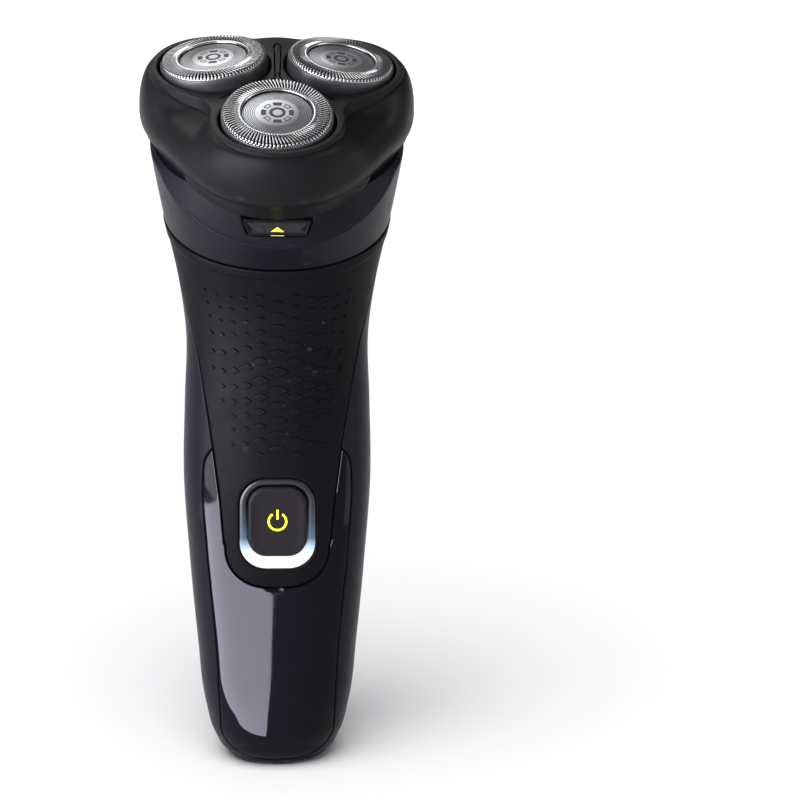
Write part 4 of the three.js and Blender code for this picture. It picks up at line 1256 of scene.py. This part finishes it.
def top_frame():
    columns = 288
    angle = np.arange(columns) / columns * TAU
    outer = [polar(r, angle, h) for r, h in cheek_profile(angle)]
    for t in np.linspace(0.12, 1, 9):
        r = belt_radius(angle) + (low_radius(angle) - belt_radius(angle)) * t**1.6
        outer.append(polar(r, angle, BELT_H - 2.9 * t, 1 + 0.02 * t))

    def skirt(h, inset):
        t = (h + 11.4) / (RIM_H + 11.4)
        r = low_radius(angle) + (rim_radius(angle) - low_radius(angle)) * t
        return polar(r - inset, angle, h, 1.02 + 0.05 * t)

    crease = skirt(CREASE_H, 0)
    reach = np.hypot(crease[:, 0], crease[:, 1])
    off = np.degrees(np.arccos(np.clip(-crease[:, 1] / reach, -1, 1)))
    within = off < LIP_END
    lip_reach = np.where(within, np.maximum(LIP_RADIUS(off), reach - 3), reach - 0.05)
    crease_reach = np.where(within, np.maximum(reach, LIP_RADIUS(off) + 0.15), reach)

    def lip(level, inset, drop=0.0):
        """level runs from 0 at the crease to 1 at the lip's lower edge."""
        far = crease_reach + (lip_reach - crease_reach) * level - inset
        height = CREASE_H + (LIP_HEIGHT(off) - CREASE_H) * level - drop
        return np.column_stack([crease[:, 0] * far / reach, crease[:, 1] * far / reach, height])

    for h in (-11.9, -12.4, -12.9, -13.3):
        ring = skirt(h, 0)
        now = np.hypot(ring[:, 0], ring[:, 1])
        grown = np.maximum(now, crease_reach)
        scale = (now + (grown - now) * (h + 11.4) / (CREASE_H + 11.4)) / now
        outer.append(ring * np.column_stack([scale, scale, np.ones(columns)]))
    wall = LIP_WALL(off)
    face = [(0.0, 0.0), (0.02, 0.03), (0.07, 0.07), (0.2, 0.1), (0.4, 0.12), (0.6, 0.11), (0.8, 0.07)]
    edge = [(0.94, 0.0), (1.0, 0.06, -0.05), (1.0, 0.2, 0.0), (1.0, wall * 0.7), (1.0, wall, -0.12)]
    outer += [lip(*place) for place in face + edge + [(0.9, wall * 1.05)]]
    ceiling = -3.0
    outer.append(polar(belt_radius(angle) - 2, angle, -9))
    outer.append(polar(lobed(27.6, 3.2)(angle) - 2.6, angle, -6.3))
    wall_loop = polar(plateau_radius(angle) - 1.2, angle, ceiling)
    outer.append(wall_loop)
    skin_part = (np.concatenate(outer), grid_faces(len(outer), columns, closed=True))

    circle = np.arange(120) / 120 * TAU
    edge_loop = outer[0][:, :2]
    centres = [(CAP_RING * math.cos(a), CAP_RING * math.sin(a)) for a in CAP_ANGLES]
    rings = [APERTURE_RADIUS + extra for extra in (0.0, 0.04, 0.12, 0.26, 0.45)]
    points, loops, holes = [], [], []
    add_loop(points, loops, edge_loop)
    for x, y in centres:
        for radius in rings:
            loop = np.stack([x + radius * np.cos(circle), y + radius * np.sin(circle)], -1)
            add_loop(points, loops, loop)
        holes.append(points[-len(rings)])
    groove = groove_outline()
    for inset in (0.0, 0.16, 0.34):
        add_loop(points, loops, groove_outline(inset))
    gx, gy = np.meshgrid(np.arange(-30, 30.1, 0.8), np.arange(-31, 30.1, 0.8))
    loose = np.stack([gx.ravel(), gy.ravel()], -1)
    clear = points_inside(loose, edge_loop) & (distance_to(loose, edge_loop) > 0.35)
    for x, y in centres:
        clear &= np.hypot(loose[:, 0] - x, loose[:, 1] - y) > rings[-1] + 0.3
    clear &= distance_to(loose, groove) > 0.3
    points.append(loose[clear])
    regions = [(edge_loop, True)] + [(hole, False) for hole in holes]
    flat, faces = triangulate(np.concatenate(points), loops, regions)
    height = top_height(flat[:, 0], flat[:, 1])
    for x, y in centres:
        height -= rolled(np.hypot(flat[:, 0] - x, flat[:, 1] - y) - APERTURE_RADIUS, 0.42)
    inside = points_inside(flat, groove)
    deep = distance_to(flat, groove)
    height -= np.where(inside, 0.6 * smoothstep(0.0, 0.16, deep) - 0.4 * smoothstep(0.16, 0.34, deep), 0)
    top = np.column_stack([flat, height])
    under = np.column_stack([flat, np.full(len(flat), ceiling)])
    on_edge = distance_to(flat, edge_loop) < 0.01
    number = np.round(np.arctan2(flat[:, 1], flat[:, 0]) / TAU * columns).astype(int) % columns
    under[on_edge] = wall_loop[number[on_edge]]
    hole_edges = [(a, b) for a, b in boundary_edges(faces) if not (on_edge[a] and on_edge[b])]
    count = len(flat)
    walls = [list(f) for f in faces] + [[i + count for i in reversed(f)] for f in faces]
    walls += [[b, a, a + count, b + count] for a, b in hole_edges]
    cover_part = (np.concatenate([top, under]), walls)
    points, faces = join_parts((skin_part[0], [list(reversed(f)) for f in skin_part[1]]), cover_part)
    points, faces, _ = weld(points, faces, 2e-3)
    shell = facing_out(points, faces)
    extras = [
        knuckle(-6, 6),
        eased_block(-6, 6, 25.8, 28.7, HINGE_H, -8, 0.5),
        eased_block(-3.5, 3.5, -21.0, -19.8, -18.8, -7.2, 0.4),
        eased_block(-3.5, 3.5, -31.0 + 0.6, -19.8, -8.4, -7.2, 0.4),
    ]
    points, faces = join_parts(shell, *extras)
    make_piece(
        "unit_cover", to_row(points), faces, UNIT, "shaving_unit", ["top_frame"], "unit_plastic", sharp=38
    )


top_frame()

# ---------------------------------------------------------------- the three shaving caps, about the cap axis

SLOT_COUNT = 90
SLANT = math.radians(13)


def cap_matrix(angle):
    """The turn from the cap's own frame to the head frame."""
    up, out = math.cos(CAP_LEAN), math.sin(CAP_LEAN)
    outward = Vector((out * math.cos(angle), out * math.sin(angle), up))
    return np.array(Vector((0, 0, 1)).rotation_difference(outward).to_matrix())


def cap_piece(name, part, angle, material, body, nodes=(), slot=None, sharp=35):
    """A piece made about its own +Z, placed at its cap with its origin on the cap's axis."""
    origin = to_row([CAP_RING * math.cos(angle), CAP_RING * math.sin(angle), 0])
    turn = Matrix.Rotation(HEAD_TILT, 3, "X") @ Matrix(cap_matrix(angle).tolist())
    place = Matrix.Translation(Vector(origin) * MM) @ turn.to_4x4()
    make_piece(name, *part, material, body, nodes, slot, sharp, place)


def guard_part():
    """The slotted guard: radial slots, a little slanted, that wrap over the outer edge."""
    profile = [(7.5, 1.95), (7.5, 2.14), (7.56, 2.26), (7.7, 2.36), (7.86, 2.4), (8.02, 2.4), (8.06, 2.385)]
    profile += [(8.2, 2.34), (8.9, 2.32), (9.6, 2.32), (10.3, 2.33), (10.8, 2.34), (11.1, 2.31), (11.3, 2.2)]
    profile += [(11.4, 2.04), (11.45, 1.84), (11.45, 1.62), (11.45, 1.58), (11.45, 1.2), (11.44, 0.98)]
    profile += [(11.4, 0.9)]
    first, last = 6, 16  # the profile rows between which the slots are open
    columns = SLOT_COUNT * 4
    pitch = TAU / SLOT_COUNT
    offsets = np.array([0.0, 0.1, 0.4, 0.5]) * pitch  # a bar: its edge, crown, crown and edge; then the slot
    base = (np.arange(SLOT_COUNT)[:, None] * pitch + offsets[None, :]).ravel()
    outer, inner = [], []
    for row, (r, z) in enumerate(profile):
        before = profile[max(row - 1, 0)]
        after = profile[min(row + 1, len(profile) - 1)]
        across = np.array([after[0] - before[0], after[1] - before[1]])
        across /= np.linalg.norm(across)
        normal = np.array([-across[1], across[0]])
        sweep = math.tan(SLANT) * math.log(min(max(r, 8.0), 11.3) / 9.7)
        edge = np.tile([0.05, 0.0, 0.0, 0.05], SLOT_COUNT) if first <= row <= last else np.zeros(columns)
        for store, deep in ((outer, edge), (inner, np.full(columns, 0.42))):
            radius, height = r - normal[0] * deep, z - normal[1] * deep
            store.append(np.stack([radius * np.cos(base + sweep), radius * np.sin(base + sweep), height], -1))
    faces = []
    for index, face in enumerate(grid_faces(len(profile), columns, closed=True)):
        row, column = divmod(index, columns)
        if first <= row < last and column % 4 == 3:
            continue
        faces.append(face)
    points, faces = thicken(np.concatenate(outer), np.concatenate(inner), faces)
    return facing_out(points, faces)


def disc_part():
    """The decorative disc, with a raised middle; its fine rings, painted groove shade, are pieces of mark_part."""
    profile = [(0, 1.25), (7.2, 1.25), (7.32, 1.35), (7.32, 1.74), (7.27, 1.83), (7.16, 1.86)]
    profile += [(4.72, 1.87), (4.6, 1.92), (4.45, 1.96), (2.0, 1.97), (0, 1.97)]
    return turned(profile, 120)


def sector(r0, r1, a0, a1, z0, z1):
    """A block between two radii and two angles."""
    angles = np.linspace(a0, a1, 6)
    inner = np.stack([r0 * np.cos(angles), r0 * np.sin(angles)], -1)
    outer = np.stack([r1 * np.cos(angles), r1 * np.sin(angles)], -1)[::-1]
    flat = np.concatenate([inner, outer])
    loops = [np.column_stack([flat, np.full(len(flat), z)]) for z in (z0, z1)]
    return loft_loops(loops)


def mark_part():
    """Dark pieces on the disc: fine rings that paint the shade of its grooves, and a ring with eight blocks in the
    middle.
    """
    low, high = 1.93, 1.985
    inner, outer, half = 2.4, 3.45, math.radians(17.5)
    parts = [turned([(1.03, low), (1.03, high), (1.73, high), (1.73, low)], 48)]
    # dark rings painted where the disc's fine grooves would be in shade
    for r in (4.74, 5.15, 5.53, 5.91, 6.29, 6.67, 7.02):
        parts.append(turned([(r, 1.82), (r + 0.02, 1.885), (r + 0.15, 1.885), (r + 0.17, 1.82)], 96))
    for k in range(8):
        middle = k * TAU / 8
        if k % 2 == 0:
            parts.append(sector(inner, outer, middle - half, middle + half, low, high))
            continue
        near, far = middle - 0.8 * half, middle + 0.8 * half
        parts.append(sector(inner, inner + 0.22, near, far, low, high))
        parts.append(sector(outer - 0.22, outer, near, far, low, high))
        parts.append(sector(inner + 0.2, outer - 0.2, near, near + 0.07, low, high))
        parts.append(sector(inner + 0.2, outer - 0.2, far - 0.07, far, low, high))
    return join_parts(*parts)


def holder_part():
    """The plastic ring that holds the guard, seen as a grey band round it."""
    profile = [(10.9, -3), (11.55, -3), (11.72, -2.9), (11.76, -2.7), (11.84, 0.1), (11.82, 1.25)]
    profile += [(11.76, 1.44), (11.66, 1.53), (11.56, 1.55), (11.5, 1.49), (11.49, 0.6), (10.98, 0.56), (10.9, 0.5)]
    return turned(profile, 144)


def cutter_part():
    """A steel disc on a hub, with fifteen raised blades near its edge; the hub, plastic on the real cutter, is
    drawn in the same steel.
    """
    disc = [(3.4, -0.8), (10.05, -0.8), (10.2, -0.66), (10.2, -0.24), (10.05, -0.1), (3.4, -0.1)]
    hub = [(2.6, -6), (3.9, -6), (4.0, -5.8), (4.0, -0.7), (4.0, 0.25), (3.7, 0.4)]
    hub += [(0, 0.4), (0, -2.6), (2.6, -2.6)]
    parts = [turned(disc, 96), turned(hub, 60)]
    for k in range(15):
        points, faces = eased_block(7.9, 10.1, -0.3, 0.3, -0.3, 1.5, 0.12)
        points = points.copy()
        points[:, 1] += np.maximum(points[:, 2], 0) * 0.22
        a = k / 15 * TAU
        turn = np.array([[math.cos(a), -math.sin(a), 0], [math.sin(a), math.cos(a), 0], [0, 0, 1]])
        parts.append(moved((points, faces), turn))
    return join_parts(*parts)


def caps():
    guard, disc, mark, holder, cutter = guard_part(), disc_part(), mark_part(), holder_part(), cutter_part()
    for k, angle in enumerate(CAP_ANGLES, 1):
        body = f"cap_{k}"
        cap_piece(f"guard_{k}", guard, angle, TRACK_STEEL, body, [f"cap_guard_{k}"], "steel", 50)
        cap_piece(f"disc_{k}", disc, angle, DISC_STEEL, body, [f"cap_trim_{k}"], "steel")
        cap_piece(f"disc_mark_{k}", mark, angle, MARK, body)
        cap_piece(f"holder_{k}", holder, angle, CAP_GREY, body, [f"cap_holder_{k}"], "cap_plastic")
        cap_piece(f"cutter_ring_{k}", cutter, angle, CUTTER_STEEL, f"cutter_{k}", [f"cutter_{k}"], "steel")


caps()

# ---------------------------------------------------------------- CAD nodes that keep their shape

KEPT = {
    INNER: ["inner_frame", "motor_plate", "drive_cover", "retaining_frame", "charging_socket", "tact_switch"],
    GEAR: ["centre_gear"] + [f"drive_{part}_{k}" for part in ("gear", "spindle") for k in (1, 2, 3)],
    STEEL: ["motor_can", "motor_shaft", "hinge_pin", "motor_screw_1", "motor_screw_2"]
    + [f"board_screw_{k}" for k in (1, 2, 3, 4)],
    BRASS: ["socket_pin_1", "socket_pin_2"],
    BOARD: ["circuit_board"],
    CELL: ["battery_cell"],
    LIGHT: ["status_led"],
}
for material, names in KEPT.items():
    for name in names:
        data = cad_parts[name].data
        data.materials.clear()
        data.materials.append(material)

# ---------------------------------------------------------------- stage, light and camera


def lit_only(lamp, pieces):
    """Let a lamp light these pieces alone; everything still casts its shadow."""
    group = bpy.data.collections.new(f"{lamp.name}_lit")
    for piece in pieces:
        group.objects.link(piece)
    lamp.light_linking.receiver_collection = group


def softbox(name, location, target, size, radiance, only="", colour=(1, 1, 1)):
    """A rectangular lamp for the object, or for the pieces whose name has `only` in it.

    Its strength is given as radiance, so that its size can be changed alone."""
    light = bpy.data.lights.new(name, "AREA")
    light.shape = "RECTANGLE"
    light.size, light.size_y = size
    light.color = colour
    light.energy = radiance * math.pi * size[0] * size[1]
    lamp = bpy.data.objects.new(name, light)
    lamp.location = Vector(location)
    lamp.rotation_euler = (Vector(target) - lamp.location).to_track_quat("-Z", "Y").to_euler()
    lamp.visible_camera = False
    bpy.context.scene.collection.objects.link(lamp)
    meshes = [o for o in bpy.context.scene.objects if o.type == "MESH" and o.name != "studio_floor"]
    lit_only(lamp, [o for o in meshes if only in o.name])


def floor_sun():
    sun = bpy.data.lights.new("floor_sun", "SUN")
    sun.energy = 3.3
    sun.angle = math.radians(50)
    lamp = bpy.data.objects.new("floor_sun", sun)
    lamp.rotation_euler = Vector((0.15, 0.45, -0.88)).to_track_quat("-Z", "Y").to_euler()
    bpy.context.scene.collection.objects.link(lamp)
    lit_only(lamp, [bpy.data.objects["studio_floor"]])


def stage():
    """A pale round floor whose edge sweeps up into a low wall all round, far from the object."""
    shader = Shader("studio_floor", roughness=0.7)
    shader.vary_colour((0.9, 0.9, 0.905), (0.92, 0.92, 0.925), 8)
    shader.bump(shader.noise(400, 3), 2e-5, 0.2)
    flat, bend, top, columns = 5.0, 1.0, 2.0, 96
    line = [(r, 0.0) for r in (0.3, 1.0, 2.5, flat)]
    for a in np.linspace(0, math.pi / 2, 12)[1:]:
        line.append((flat + bend * math.sin(a), bend * (1 - math.cos(a))))
    line.append((flat + bend, top))
    turn = np.arange(columns) / columns * TAU
    points = [(r * math.cos(a), r * math.sin(a), z) for r, z in line for a in turn]
    faces = [list(reversed(f)) for f in grid_faces(len(line), columns, closed=True)] + [list(range(columns))]
    mesh = bpy.data.meshes.new("studio_floor")
    mesh.from_pydata(points, [], faces)
    mesh.shade_smooth()
    mesh.materials.append(shader.material)
    floor = bpy.data.objects.new("studio_floor", mesh)
    bpy.context.scene.collection.objects.link(floor)


def world_light():
    world = bpy.data.worlds.new("studio_world")
    world.use_nodes = True
    world.node_tree.nodes["Background"].inputs["Color"].default_value = (0.9, 0.91, 0.95, 1)
    world.node_tree.nodes["Background"].inputs["Strength"].default_value = 0.22
    bpy.context.scene.world = world


def camera():
    data = bpy.data.cameras.new("photo_camera")
    data.sensor_width = 36.0
    data.lens = 75.0
    data.clip_start = 0.01
    cam = bpy.data.objects.new("photo_camera", data)
    pitch, yaw, roll = math.radians(10.9), math.radians(4.281), math.radians(0.811)
    turn = Matrix.Rotation(-yaw, 4, "Z") @ Matrix.Rotation(math.pi / 2 - pitch, 4, "X")
    turn = turn @ Matrix.Rotation(roll, 4, "Z")
    cam.matrix_world = Matrix.Translation(Vector((0, -383.9, 160.8)) * MM) @ turn
    bpy.context.scene.collection.objects.link(cam)
    bpy.context.scene.camera = cam


stage()
world_light()
softbox("left_front", (-0.24, -0.21, 0.06), (0, 0, 0.08), (0.36, 0.5), 12, colour=(0.97, 0.96, 1))
# the pale reflection in the gloss panel: a lamp just above the floor, and one that stands behind it
PANEL_LAMP = (41, "gloss_cover", (0.85, 0.81, 1))
softbox("panel_low", (-0.133, -0.175, 0.002), (-0.133, -0.175, 1), (0.258, 0.31), *PANEL_LAMP)
softbox("panel_far", (-0.141, -0.33, 0.1), (-0.141, 0, 0.1), (0.258, 0.2), *PANEL_LAMP)
softbox("right_strip", (0.2, -0.05, 0.1), (0, 0, 0.08), (0.04, 0.3), 2)
softbox("right_high", (0.3, -0.12, 0.38), (0, 0, 0.15), (0.15, 0.12), 8)
softbox("above", (-0.1, 0.12, 0.5), (0, 0, 0.15), (0.3, 0.2), 4)
floor_sun()
camera()
bpy.context.scene.view_settings.view_transform = "Standard"
